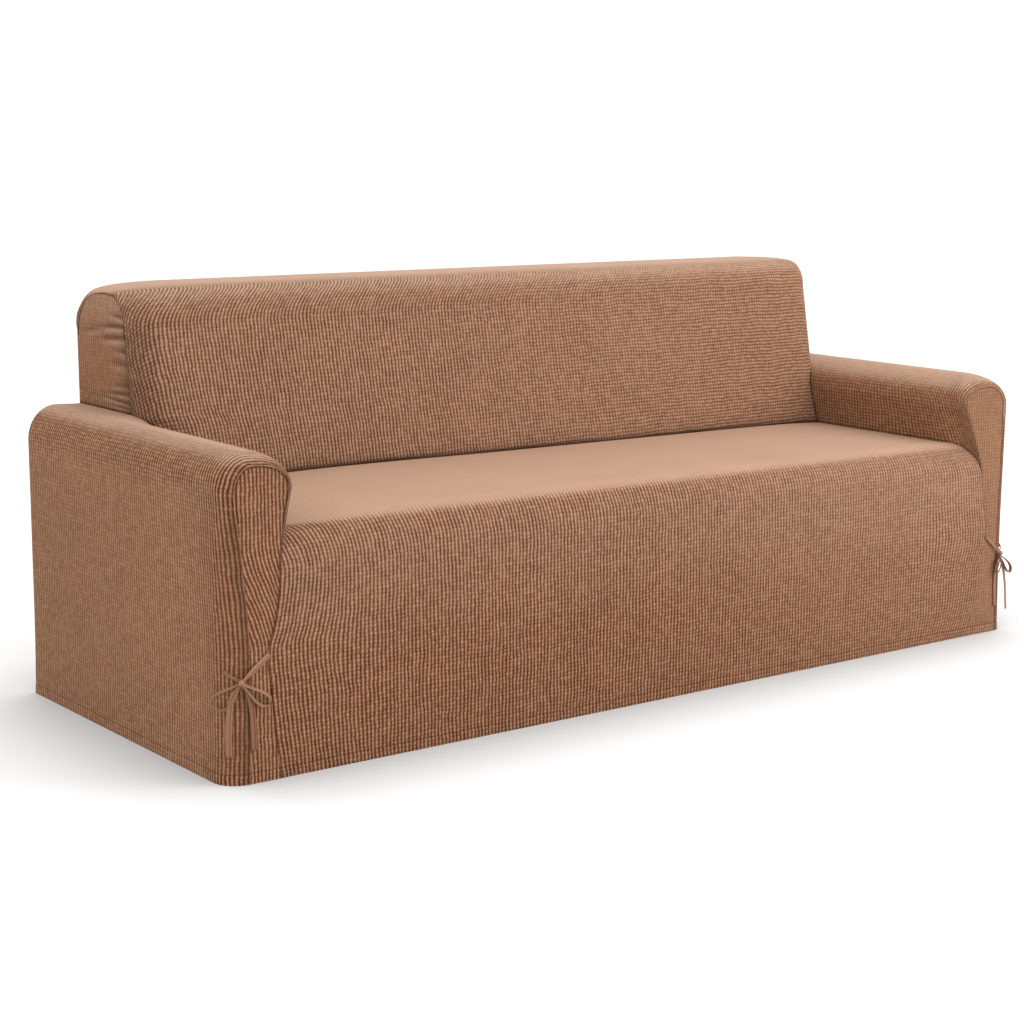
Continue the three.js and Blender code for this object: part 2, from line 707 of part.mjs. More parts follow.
function tieGeometry({ knot, strap, loop, tail }) {
  const centre = place(knot);
  const ball = new THREE.SphereGeometry(tie.knot.radius, 8, 6);
  ball.scale(1, knot.half / tie.knot.radius, 1);
  ball.rotateZ(THREE.MathUtils.degToRad(knot.facing));
  ball.translate(knot.x, knot.y, knot.z);
  const narrowing = (t) => lerp(tie.width, tie.neck, smoothstep(t, 0.4, 1));
  const widening = (t) => lerp(tie.neck, tie.width, smoothstep(t, 0, 0.5));
  const parts = [
    ball,
    flatStrip([...strap.from.map(place), centre], tie.cells.strap, narrowing, [strap.facing, knot.facing]),
    tieLoop({ knot, loop }),
    flatStrip([centre, ...tail.to.map(place)], tie.cells.tail, widening, [knot.facing, tail.facing]),
  ];
  const joined = parts.map(solid).reduce((whole, part) => whole.add(part)).getMesh();
  const geometry = new THREE.BufferGeometry();
  geometry.setAttribute('position', new THREE.Float32BufferAttribute(joined.vertProperties, 3));
  geometry.setIndex([...joined.triVerts]);
  return geometry;
}

const knit = { color: 0xa97c5e, roughness: 0.95, metalness: 0 };

function piece(name, geometry) {
  const mesh = new THREE.Mesh(geometry, new THREE.MeshStandardMaterial(knit));
  mesh.name = name;
  return mesh;
}

const slipcover = new THREE.Group();
slipcover.add(piece('seat_front', seatFront()));
slipcover.add(piece('back_front_top', backFrontTop()));
slipcover.add(piece('back_outer', backOuter()));
arms.forEach((arm) => {
  slipcover.add(piece(`arm_${arm.name}`, armPiece(arm)));
  slipcover.add(piece(`arm_front_${arm.name}`, armFront(arm)));
  slipcover.add(piece(`back_side_${arm.name}`, backSide(arm)));
});

ties.forEach((each) => slipcover.add(piece(each.name, tieGeometry(each))));

export default slipcover;
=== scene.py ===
# Ribbed knit slipcover drawn over a three-seat sofa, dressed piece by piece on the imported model.
# The shape functions repeat the solid's, in millimetres; each finished mesh is in metres.
import functools
import math

import bmesh
import bpy
import numpy as np
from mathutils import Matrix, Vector


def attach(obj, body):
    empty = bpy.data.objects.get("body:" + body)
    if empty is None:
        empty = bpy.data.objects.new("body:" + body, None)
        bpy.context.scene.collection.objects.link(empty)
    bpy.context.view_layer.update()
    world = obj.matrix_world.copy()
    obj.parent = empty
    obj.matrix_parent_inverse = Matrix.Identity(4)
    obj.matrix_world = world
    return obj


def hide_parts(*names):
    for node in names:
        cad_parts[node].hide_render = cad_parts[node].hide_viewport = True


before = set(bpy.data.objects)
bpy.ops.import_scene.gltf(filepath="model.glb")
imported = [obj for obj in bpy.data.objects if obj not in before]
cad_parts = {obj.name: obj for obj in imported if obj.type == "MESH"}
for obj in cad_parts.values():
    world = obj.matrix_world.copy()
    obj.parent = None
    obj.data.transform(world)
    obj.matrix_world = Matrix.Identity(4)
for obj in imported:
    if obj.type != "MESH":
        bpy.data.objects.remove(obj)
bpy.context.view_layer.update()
scene = bpy.context.scene
print("frame loaded")

mm = 0.001
quarter = math.pi / 2


def lerp(a, b, t):
    return a + (b - a) * t


def unit(x):
    return np.clip(x, 0, 1)


def smooth(x, low, high):
    t = unit((x - low) / (high - low))
    return t * t * (3 - 2 * t)


def bump(x, centre, width):
    return np.exp(-(((x - centre) / width) ** 2))


def beaded(along, pitch, depth):
    return 1 - depth + depth * np.cos(along * 2 * math.pi / pitch)


def steps(low, high, count):
    return np.linspace(low, high, count + 1)


def placed(x, y, z):
    return np.stack(np.broadcast_arrays(x, y, z), -1)


def through(table, at):
    # a smooth line through a table's rows
    keys, values = np.array(table, float).T
    last = len(keys) - 1
    before = np.maximum(np.arange(last + 1) - 1, 0)
    after = np.minimum(np.arange(last + 1) + 1, last)
    slopes = (values[after] - values[before]) / (keys[after] - keys[before])
    at = np.asarray(at, float)
    i = np.clip(np.searchsorted(keys, at, side="left") - 1, 0, last - 1)
    span = keys[i + 1] - keys[i]
    t = unit((at - keys[i]) / span)
    ease = t * t * (3 - 2 * t)
    leave = t * (1 - t) ** 2 * span * slopes[i]
    arrive = t * t * (t - 1) * span * slopes[i + 1]
    return lerp(values[i], values[i + 1], ease) + leave + arrive


def solve(f, low, high, shape):
    # where a falling function reaches zero
    low, high = [np.broadcast_to(end, shape).astype(float) for end in (low, high)]
    for _ in range(32):
        middle = (low + high) / 2
        above = f(middle) > 0
        low = np.where(above, middle, low)
        high = np.where(above, high, middle)
    return (low + high) / 2


def alongCells(values, count, first=None):
    # a list's values with each cell split in count, the first one as given
    values = np.asarray(values, float)
    index = steps(0, len(values) - 1, (len(values) - 1) * count)
    if first is not None:
        index = np.concatenate([first, index[count + 1:]])
    return np.interp(index, np.arange(len(values)), values)


def joined(*runs):
    # runs end to end, each value once where they meet
    return np.concatenate([runs[0]] + [run[1:] for run in runs[1:]])


# the cover's shape, as in the solid
cover = {
    "frontY": -422.5, "rearY": 428, "cloth": 2, "gap": 0.3, "buttGap": 0.7, "backGap": 2.4,
    "rearRadius": (20, 26),
}
frontY, rearY, cloth, gap, buttGap = [cover[key] for key in ("frontY", "rearY", "cloth", "gap", "buttGap")]
rearRound = cover["rearRadius"][1]
seat = {
    "edgeZ": 461, "rollDepth": 55, "rollFoot": 390, "edgeX": 905, "puff": 2.5, "crownLoss": 0.25,
    "crownLossFrom": -150,
    "crown": [(-905, 2), (-760, 19), (-560, 25), (-100, 18), (450, 11), (780, 6), (905, 0)],
}
outerRows = [0, 84, 168, 243, 295, 340, 390, 440, 490, 520, 545]
leftArm = {
    "name": "left", "sign": -1, "apexX": 984, "apexZ": 618, "widestX": 896, "widestZ": 545,
    "rearTuck": 905, "wallX": 1047, "cornerR": 50, "backX": 927, "topTurn": 190,
    "seam": [(0, 936), (84, 946), (168, 953), (243, 960), (295, 944), (340, 935), (390, 930),
             (440, 922), (490, 910), (545, 896)],
}
rightArm = {
    "name": "right", "sign": 1, "apexX": 981, "apexZ": 618, "widestX": 895, "widestZ": 550,
    "rearTuck": 905, "wallX": 1065, "cornerR": 35, "backX": 938, "topTurn": 40,
    "seam": [(0, 932), (84, 966), (168, 975), (243, 991), (295, 984), (340, 976), (390, 968),
             (440, 951), (490, 925), (550, 895)],
}
arms = [leftArm, rightArm]
side = {
    "flare": 4, "flareZ": 230, "springZ": 545,
    "spring": (26, 30),  # front edge of the arm piece: how far in, how long
    "apex": (25, 90), "widest": (10, 16), "foot": (4, 4), "puff": 2.5, "flareFrom": -352,
    "levelFrom": 60, "levelTo": 165, "levelDrop": 2,
}
back = {
    "footZ": 455, "lean": 0.194, "footY": 52,
    "rollZ": (800, 788),  # between the arms, and where it has turned to the side
    "topY": (190, 245), "rearTopY": (371, 300), "rearZ": (-60, 760), "endTopZ": 855, "topZ": (869, 855),
    "topCrown": 2, "frontTurn": 65, "footReach": 20, "armReach": 82, "reachLoss": 0.06,
}
armTopZ = 618


def innerSide(arm, z, y):
    front = through(arm["seam"], z)
    rear = lerp(arm["widestX"], arm["rearTuck"], (arm["widestZ"] - z) / (arm["widestZ"] - seat["edgeZ"]))
    return lerp(rear, front, smooth(-y, -side["flareFrom"], -frontY))


def wallHeight(q):
    return through(list(enumerate(outerRows)), unit(q) * (len(outerRows) - 1))


def armOutline(arm, q, y):
    # q runs up the outer wall to 1, over the arch to 3 and down the inner side to 4
    q, y = np.broadcast_arrays(q, y)
    wallZ = wallHeight(q)
    wall = arm["wallX"] + side["flare"] * np.maximum(0, 1 - wallZ / side["flareZ"]) ** 2
    turn = (np.clip(q, 1, 2) - 1) * quarter
    outerX = arm["apexX"] + (arm["wallX"] - arm["apexX"]) * np.cos(turn)
    outerZ = side["springZ"] + (arm["apexZ"] - side["springZ"]) * np.sin(turn)
    turn = (3 - np.clip(q, 2, 3)) * quarter
    roundZ = arm["widestZ"] + (arm["apexZ"] - arm["widestZ"]) * np.sin(turn)
    flat = smooth(y, side["levelFrom"], side["levelTo"])
    archX = arm["apexX"] - (arm["apexX"] - arm["widestX"]) * np.cos(turn)
    archZ = lerp(roundZ, arm["apexZ"] - side["levelDrop"], flat)
    innerZ = lerp(arm["widestZ"], seat["rollFoot"], np.clip(q, 3, 4) - 3)
    innerX = innerSide(arm, innerZ, y)
    parts = [q <= 1, q <= 2, q <= 3]
    return np.select(parts, [wall, outerX, archX], innerX), np.select(parts, [wallZ, outerZ, archZ], innerZ)


def outward(arm, q, y):
    ax, az = armOutline(arm, np.maximum(q - 0.02, 0), y)
    bx, bz = armOutline(arm, np.minimum(q + 0.02, 4), y)
    length = np.hypot(bx - ax, bz - az)
    return (bz - az) / length, -(bx - ax) / length


def frontTurn(arm, q):
    both = [arm["cornerR"]] * 2
    for low, high, key in ((0.3, 1, "spring"), (1, 2, "apex"), (2, 3, "widest"), (3, 4, "foot")):
        both = [lerp(a, b, smooth(q, low, high)) for a, b in zip(both, side[key])]
    return both


def rearRadius(q):
    return lerp(*cover["rearRadius"], smooth(q, 0, 1))


def roundDrop(into, radius):
    # how far a round edge falls away, by the share of its radius gone into
    return radius * (1 - np.sqrt(1 - unit(into) ** 2))


def rearDrop(y):
    return roundDrop((y - rearY) / rearRound + 1, rearRound)


def armPoint(arm, q, y, turn, reach):
    # turn is 0 on the arm and 1 where an end corner has turned square to it
    x, z = armOutline(arm, q, y)
    nx, nz = outward(arm, q, y)
    inset = reach * (1 - np.cos(turn * quarter))
    return placed(arm["sign"] * (x - nx * inset), y, np.where(q > 0, z - nz * inset, 0))


def roundSection(q, frontAt, rollZ, topY, topZ, rearTopY, endY, rearZ):
    # q runs up the face to 1, over the edge to 2, along the top to 3 and over the rear to 4
    lowZ = lerp(back["footZ"], rollZ, unit(q))
    turn = (np.clip(q, 1, 2) - 1) * quarter
    rollY = topY - (topY - frontAt(rollZ)) * np.cos(turn)
    rollUp = rollZ + (topZ - rollZ) * np.sin(turn)
    top = np.clip(q, 2, 3) - 2
    down = (np.clip(q, 3, 4) - 3) * quarter
    parts = [q <= 1, q <= 2, q <= 3]
    y = np.select(parts, [frontAt(lowZ), rollY, lerp(topY, rearTopY, top)],
                  rearTopY + (endY - rearTopY) * np.sin(down))
    z = np.select(parts, [lowZ, rollUp, topZ + back["topCrown"] * np.sin(top * math.pi)],
                  rearZ + (topZ - rearZ) * np.cos(down))
    return y, z


def faceY(z):
    return back["footY"] + (z - back["footZ"]) * back["lean"]


def backMiddle(x, q):
    share = (x + leftArm["backX"]) / (leftArm["backX"] + rightArm["backX"])
    topZ = lerp(*back["topZ"], share)
    return roundSection(q, faceY, back["rollZ"][0], back["topY"][0], topZ, back["rearTopY"][0],
                        rearY, topZ + back["rearZ"][0])


def backEnd(q):
    def frontAt(z):
        settled = lerp(back["footReach"], back["armReach"], smooth(z, back["footZ"], armTopZ))
        return faceY(z) + settled - back["reachLoss"] * np.maximum(0, z - armTopZ)

    return roundSection(q, frontAt, back["rollZ"][1], back["topY"][1], back["endTopZ"], back["rearTopY"][1],
                        rearY - rearRound, back["rearZ"][1])


def turnLength(arm, q):
    front = lerp(back["frontTurn"], arm["topTurn"], smooth(q, 1, 2))
    return np.where(q <= 2, front, lerp(arm["topTurn"], rearRound, smooth(q, 3, 4)))


def backPoint(arm, q, turn):
    q, turn = np.broadcast_arrays(q, turn)
    angle = turn * quarter
    x = arm["sign"] * (arm["backX"] - turnLength(arm, q) * (1 - np.sin(angle)))
    share = 1 - np.cos(angle)
    fromY, fromZ = backMiddle(x, q)
    toY, toZ = backEnd(q)
    return x, lerp(fromY, toY, share), lerp(fromZ, toZ, share)


def turnAt(arm, q, x):
    return np.arcsin(unit(1 - (arm["backX"] - x) / turnLength(arm, q))) * 2 / math.pi


def armFaceX(arm, z, y):
    z, y = np.broadcast_arrays(z, y)
    q = solve(lambda t: armOutline(arm, t, y)[1] - z, 2, 3, z.shape)
    over = armOutline(arm, 2, y)[1] <= z
    arch = np.where(over, arm["backX"], armOutline(arm, q, y)[0])
    return np.where(z <= arm["widestZ"], innerSide(arm, z, y), arch)


def backOverArm(arm, q, y):
    x, z = armOutline(arm, q, y)
    qBack = unit((z - back["footZ"]) / (back["rollZ"][0] - back["footZ"]))
    return backPoint(arm, qBack, turnAt(arm, qBack, np.minimum(x, arm["backX"])))[1]


def deckZ(x, y):
    lift = through(seat["crown"], np.clip(x, -seat["edgeX"], seat["edgeX"]))
    return seat["edgeZ"] + lift * (1 - seat["crownLoss"] * smooth(-y, -seat["crownLossFrom"], -frontY))


rollStartY = frontY + seat["rollDepth"]


def seatEdge(x, t):
    angle = np.asarray(t) * quarter
    topZ = deckZ(x, rollStartY)
    z = seat["rollFoot"] + (topZ - seat["rollFoot"]) * np.cos(angle)
    return rollStartY - seat["rollDepth"] * np.sin(angle), z


def armEnd(arm, y):
    # where the arm piece ends on its inner side, as q on its outline
    y = np.asarray(y, float)
    under = cloth + gap
    edgeX = arm["sign"] * seat["edgeX"]

    def seatQ(z):
        return 3 + (arm["widestZ"] - z) / (arm["widestZ"] - seat["rollFoot"])

    t = np.arcsin(unit((rollStartY - y) / seat["rollDepth"])) * 2 / math.pi
    atFront = np.clip(seatQ(seatEdge(edgeX, t)[1] - under * (1 - t)), 3, 4)
    low = seatQ(deckZ(edgeX, y) - under)
    inner = arm["backX"] - cloth
    atSide = solve(lambda q: armOutline(arm, q, y)[0] - inner, 2, 3, y.shape)
    between = solve(lambda q: backOverArm(arm, q, y) + cloth - y, atSide, low, y.shape)
    clear = backOverArm(arm, low, y) + cloth >= y
    past = backOverArm(arm, atSide, y) + cloth <= y
    return np.where(y <= rollStartY, atFront, np.where(clear, low, np.where(past, atSide, between)))


def armRearEnd(arm, y):
    reach = arm["backX"] + buttGap - rearDrop(y)
    return solve(lambda q: armOutline(arm, q, y)[0] - reach, 2, 3, np.shape(y))


def endEdge(arm, q, y, reach, clear):
    # the edge of a panel that closes an end of the arm
    p = armPoint(arm, q, y, 1.0, reach)
    nx, nz = outward(arm, q, y)
    p[:, 0] -= arm["sign"] * nx * clear
    p[:, 2] = np.where(p[:, 2] < gap, 0, p[:, 2] - nz * clear)
    return p


def rowAt(q, end):
    return np.where(q <= 1, q, 1 + (q - 1) * (end - 1) / 3)


def between(bottom, top, left, right):
    # a grid between four edges that meet at their ends
    u = np.linspace(0, 1, len(bottom))[None, :, None]
    v = np.linspace(0, 1, len(left))[:, None, None]
    grid = bottom[None] * (1 - v) + top[None] * v + left[:, None] * (1 - u) + right[:, None] * u
    grid -= bottom[0] * (1 - u) * (1 - v) + bottom[-1] * u * (1 - v) + top[0] * (1 - u) * v + top[-1] * u * v
    return grid


def nearestOf(line, points, parts):
    # how far off each point's nearest place on a line is, by the coordinates named, and which it is
    far = np.sqrt(((points[:, :, None, parts] - line[None, None, :, parts]) ** 2).sum(-1))
    return far.min(-1), far.argmin(-1)


# colours, nodes and the knit
def linear(code):
    # sRGB hex to linear
    values = [int(code[i:i + 2], 16) / 255 for i in (1, 3, 5)]
    return [c / 12.92 if c <= 0.04045 else ((c + 0.055) / 1.055) ** 2.4 for c in values] + [1]


def addNode(tree, kind, inputs=(), **settings):
    # inputs are values, outputs, or nodes for their first output; the kind may name an operation too
    kind, *operation = kind.split()
    node = tree.nodes.new("ShaderNode" + kind)
    for name in operation:
        node.operation = name
    for key, value in settings.items():
        setattr(node, key, value)
    for key, value in inputs.items() if isinstance(inputs, dict) else enumerate(inputs):
        if isinstance(value, bpy.types.Node):
            value = value.outputs[0]
        if isinstance(value, bpy.types.NodeSocket):
            tree.links.new(value, node.inputs[key])
        else:
            node.inputs[key].default_value = value
    return node


def newMaterial(name):
    material = bpy.data.materials.new(name)
    material.use_nodes = True
    material.node_tree.nodes.clear()
    return material, functools.partial(addNode, material.node_tree)


def matt(add, look, colour, relief):
    shader = add("BsdfPrincipled", {
        "Base Color": colour, "Roughness": look["roughness"], "Normal": relief, "Specular IOR Level": 0.15,
        "Sheen Weight": look["sheen"], "Sheen Roughness": 0.5, "Sheen Tint": linear(knit["worn"]),
    })
    add("OutputMaterial", {"Surface": shader})


# what the material reads from a sheet: how deep the weave shows, how pale its painted highlight is, how much
# its ribs and rows are cut in, and how dark a seam or its painted shade is
sheetFacts = {"weave": 1.0, "pale": 0.0, "ribShare": 1.0, "rowShare": 0.5, "seam": 0.0}

knit = {
    "ribPitch": 8.6,  # mm from rib to rib
    "rowPitch": 8.0,  # mm from row to row
    # painted shade darkens the grooves and a painted highlight lightens the crests, around the rib's own
    # colour
    "shadedGroove": "#45230E", "rib": "#855D42",
    "crest": "#A07B62",  # the top of a bead, with a painted highlight
    "worn": "#9E7F6A",  # painted sheen: the paler colour where it lies level and its nap catches the light, also the sheen's tint
    # dark seams, and painted shade in creases, corners, folds and along edges
    "seamLine": "#301809",
    "wander": ((90, 5.0), (26, 1.8), (12, 0.7)),  # mm: a stray's size, and how far ribs stray
    "uneven": 0.24,  # how much one bead differs from the next
    "fuzz": 3.0,  # mm: size of the yarn's fuzz
    "patch": 160,  # mm: size of paler and darker patches
    "middle": 0.42,  # what the weave fades to
    "crestFirst": 1.9,  # how much sooner the crests turn pale
    "relief": 1.7,  # mm from groove to rib
    "roughness": 0.92, "sheen": 0.06,
}


def ribbedKnit():
    # thick polyester and elastane jacquard knit: matt beaded ribs between deep grooves
    material, add = newMaterial("ribbedStretchKnit")
    grain = add("UVMap", uv_map="grain")
    weave, pale, ribShare, rowShare, seam = [
        add("Attribute", attribute_name=name).outputs["Fac"] for name in sheetFacts]
    strayed = grain
    for size, far in knit["wander"]:
        noise = add("TexNoise", {"Vector": grain, "Scale": 1 / size, "Detail": 2.0}).outputs["Color"]
        centred = add("VectorMath SUBTRACT", [noise, (0.5, 0.5, 0.5)])
        stray = add("VectorMath MULTIPLY", [centred, (2 * far, 2 * far, 0)])
        strayed = add("VectorMath ADD", [strayed, stray])
    across = add("SeparateXYZ", {0: strayed})

    def wave(source, pitch, share):
        phase = add("Math MULTIPLY", [source, 2 * math.pi / pitch])
        swing = add("Math COSINE", [phase])
        cut = add("Math MULTIPLY_ADD", [swing, -0.5, 0.5])
        loss = add("Math MULTIPLY", [cut, share])
        return add("Math SUBTRACT", [1.0, loss])

    rib = wave(across.outputs["X"], knit["ribPitch"], ribShare)
    row = wave(across.outputs["Y"], knit["rowPitch"], rowShare)
    bead = add("Math MULTIPLY", [rib, row])
    pitches = (1 / knit["ribPitch"], 1 / knit["rowPitch"], 0)
    cells = add("VectorMath MULTIPLY_ADD", [strayed, pitches, (0.5, 0.5, 0)])
    cell = add("VectorMath FLOOR", [cells])
    chance = add("TexWhiteNoise", {"Vector": cell}, noise_dimensions="2D")
    fuzz = add("TexNoise", {"Vector": grain, "Scale": 1 / knit["fuzz"], "Detail": 3.0})
    fuzzed = add("Math MULTIPLY_ADD", [fuzz, 0.85, -0.425 - knit["uneven"] / 2])
    uneven = add("Math MULTIPLY_ADD", [chance, knit["uneven"], fuzzed])
    yarn = add("Math ADD", [bead, uneven], use_clamp=True)
    centred = add("Math SUBTRACT", [yarn, knit["middle"]])
    worked = add("Math MULTIPLY_ADD", [centred, weave, knit["middle"]])
    colours = add("ValToRGB", {"Fac": worked})
    ramp = colours.color_ramp
    ramp.elements.new(0.6)
    for stop, place, key in zip(ramp.elements, (0.05, 0.6, 1.0), ("shadedGroove", "rib", "crest")):
        stop.position = place
        stop.color = linear(knit[key])
    # painted highlight: pale places turn to the painted sheen colour, crests first
    lift = add("Math MULTIPLY_ADD", [centred, weave, 1 / knit["crestFirst"]])
    scaled = add("Math MULTIPLY", [pale, knit["crestFirst"]])
    turned = add("Math MULTIPLY", [lift, scaled], use_clamp=True)
    body = add("Mix", {"Factor": turned, 6: colours, 7: linear(knit["worn"])}, data_type="RGBA").outputs[2]
    patch = add("TexNoise", {"Vector": grain, "Scale": 1 / knit["patch"], "Detail": 3.0})
    blotch = add("Math MULTIPLY_ADD", [patch, 0.18, 0.76])
    mottle = add("Math MULTIPLY_ADD", [fuzz, 0.3, blotch])
    varied = add("HueSaturation", {"Color": body, "Value": mottle})
    # dark seams and painted shade
    final = add("Mix", {"Factor": seam, 6: varied, 7: linear(knit["seamLine"])}, data_type="RGBA").outputs[2]
    depth = add("Math MULTIPLY", [yarn, weave])
    relief = add("Bump", {"Height": depth, "Strength": 1.0, "Distance": knit["relief"] * mm})
    matt(add, knit, final, relief)
    return material


# fold: the colour of painted shade along a strip's edge and over a strip in shade
tape = {"cloth": "#8C674F", "fold": "#47271A", "roughness": 0.9, "sheen": 0.06}


def foldedTape():
    # the same knit in strips, folded double and pressed flat
    material, add = newMaterial("foldedKnitTape")
    grain = add("UVMap", uv_map="grain")
    fuzz = add("TexNoise", {"Vector": grain, "Scale": 0.5, "Detail": 3.0})
    # painted shade
    fold = add("Attribute", attribute_name="seam").outputs["Fac"]
    mottle = add("Math MULTIPLY_ADD", [fuzz, 0.5, 0.75])
    lit = add("HueSaturation", {"Color": linear(tape["cloth"]), "Value": mottle})
    final = add("Mix", {"Factor": fold, 6: lit, 7: linear(tape["fold"])}, data_type="RGBA").outputs[2]
    relief = add("Bump", {"Height": fuzz, "Strength": 0.6, "Distance": 0.4 * mm})
    matt(add, tape, final, relief)
    return material


knitMaterial = ribbedKnit()
tapeMaterial = foldedTape()
print("materials made")


def normalsOf(points):
    n = np.cross(np.gradient(points, axis=1), np.gradient(points, axis=0))
    return n / np.maximum(np.linalg.norm(n, axis=2, keepdims=True), 1e-9)


def runLength(points, axis, parts=(0, 1, 2)):
    # distance along one way of the grid, on the coordinates named
    step = np.linalg.norm(np.diff(points[..., list(parts)], axis=axis), axis=2)
    return np.concatenate([np.zeros_like(np.take(step, [0], axis)), np.cumsum(step, axis)], axis)


def meshFrom(bm, name):
    mesh = bpy.data.meshes.new(name)
    bm.to_mesh(mesh)
    bm.free()
    return mesh


def linked(name, data):
    thing = bpy.data.objects.new(name, data)
    scene.collection.objects.link(thing)
    return thing


def makeSheet(name, points, facts, material=knitMaterial, thickness=cloth, facing=1):
    # points is a grid in mm, rows by columns; facing is -1 where it faces inward
    rows, columns = points.shape[:2]
    normal = normalsOf(points) * facing
    points = points + normal * np.broadcast_to(facts["relief"], (rows, columns))[..., None]
    bm = bmesh.new()
    bmesh.ops.create_grid(bm, x_segments=columns - 1, y_segments=rows - 1, size=1)
    if facing < 0:
        bmesh.ops.reverse_faces(bm, faces=bm.faces[:])
    mesh = meshFrom(bm, name)
    flat = np.zeros(len(mesh.vertices) * 3)
    mesh.vertices.foreach_get("co", flat)
    flat = flat.reshape(-1, 3)
    column, row = [np.rint((flat[:, i] + 1) / 2 * (n - 1)).astype(int) for i, n in ((0, columns), (1, rows))]
    mesh.vertices.foreach_set("co", (points[row, column] * mm).ravel())
    grain = np.stack([np.broadcast_to(facts[k], (rows, columns)) for k in ("u", "v")], -1)[row, column]
    corners = np.zeros(len(mesh.loops), int)
    mesh.loops.foreach_get("vertex_index", corners)
    mesh.uv_layers.new(name="grain").data.foreach_set("uv", grain[corners].ravel())
    for key, usual in sheetFacts.items():
        values = np.broadcast_to(np.asarray(facts.get(key, usual), float), (rows, columns))[row, column]
        mesh.attributes.new(key, "FLOAT", "POINT").data.foreach_set("value", values)
    mesh.shade_smooth()
    mesh.update()
    mesh.materials.append(material)
    piece = linked(name, mesh)
    wall = piece.modifiers.new("thickness", "SOLIDIFY")
    wall.thickness = thickness * mm
    wall.offset = -1
    wall.use_even_offset = False
    return piece


def named(node):
    # seat_front becomes seatFront
    first, *rest = node.split("_")
    return first + "".join(word.title() for word in rest)


def dressed(piece, node):
    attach(piece, "root")
    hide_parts(node)


def stretched(node, points, facts, facing):
    dressed(makeSheet(named(node), points, facts, facing=facing), node)


def drawnCloser(look, x):
    # how far ribs have moved where they lie closer and closer to the right
    return look["tighter"] * np.maximum(0, x - 100) ** 2 / 900


aboveTies = (225, 260)  # mm up, where the side seams' shade begins
levelWeave = 0.22  # how much of the weave is left where the seat and the back lie level
hem = {"band": 20, "proud": 0.6, "stitch": 0.7, "shade": 0.3, "rows": steps(0, 30, 16)}


def hemFacts(z):
    # the turned-up hem stands proud below its line of stitches, and its ribs show more
    line = bump(z, hem["band"], 1.8)
    inBand = 1 - smooth(z, hem["band"] - 3, hem["band"] + 1)
    return hem["proud"] * inBand - hem["stitch"] * line, hem["shade"] * line, inBand


# seat and apron
seatLook = {
    "columns": (14, 212, 14),  # beside the left arm, middle, beside the right arm
    "edge": 0.018,  # share of the width in fine columns beside each arm
    "rows": (8, 40, 16, 54),  # behind the cushion, deck, front edge, apron
    "behind": 22,  # mm of crease behind the cushion
    "follow": 300,  # mm from the side seams within which ribs follow them
    "ribShare": (1.0, 0.85),  # left and right
    "rowShare": (0.4, 0.42), "weave": (0.9, 0.82),
    "smoothAt": (-396, 42, 80),  # where the ribs die away, how much later by the left arm, fading over
    "tighter": 0.07,  # how much closer the ribs lie towards the right end
    # ribs bend to the left arm as they go over the edge: how far, fading over, from how high, in how much
    "drawnIn": (44, 190, 365, 110),
    "seamPale": 0.5,  # painted highlight on the beaded ridge of the right side seam
    "pale": (0.2, 0.08),  # painted highlight: more at the apron's top, more at its right end
    "creaseShade": 0.8,
    "waves": [(0.0061, 0.5, 0.8), (0.0133, 2.1, 0.45)],  # slack in the apron: per mm, start, mm high
}


def roundedBy(y, z):
    # how far the side edge follows the foot of the arm's rounded front
    radius = side["foot"][0]
    return roundDrop(1 - (y - frontY) / radius, radius) * unit((z - seat["rollFoot"]) / 6 + 1)


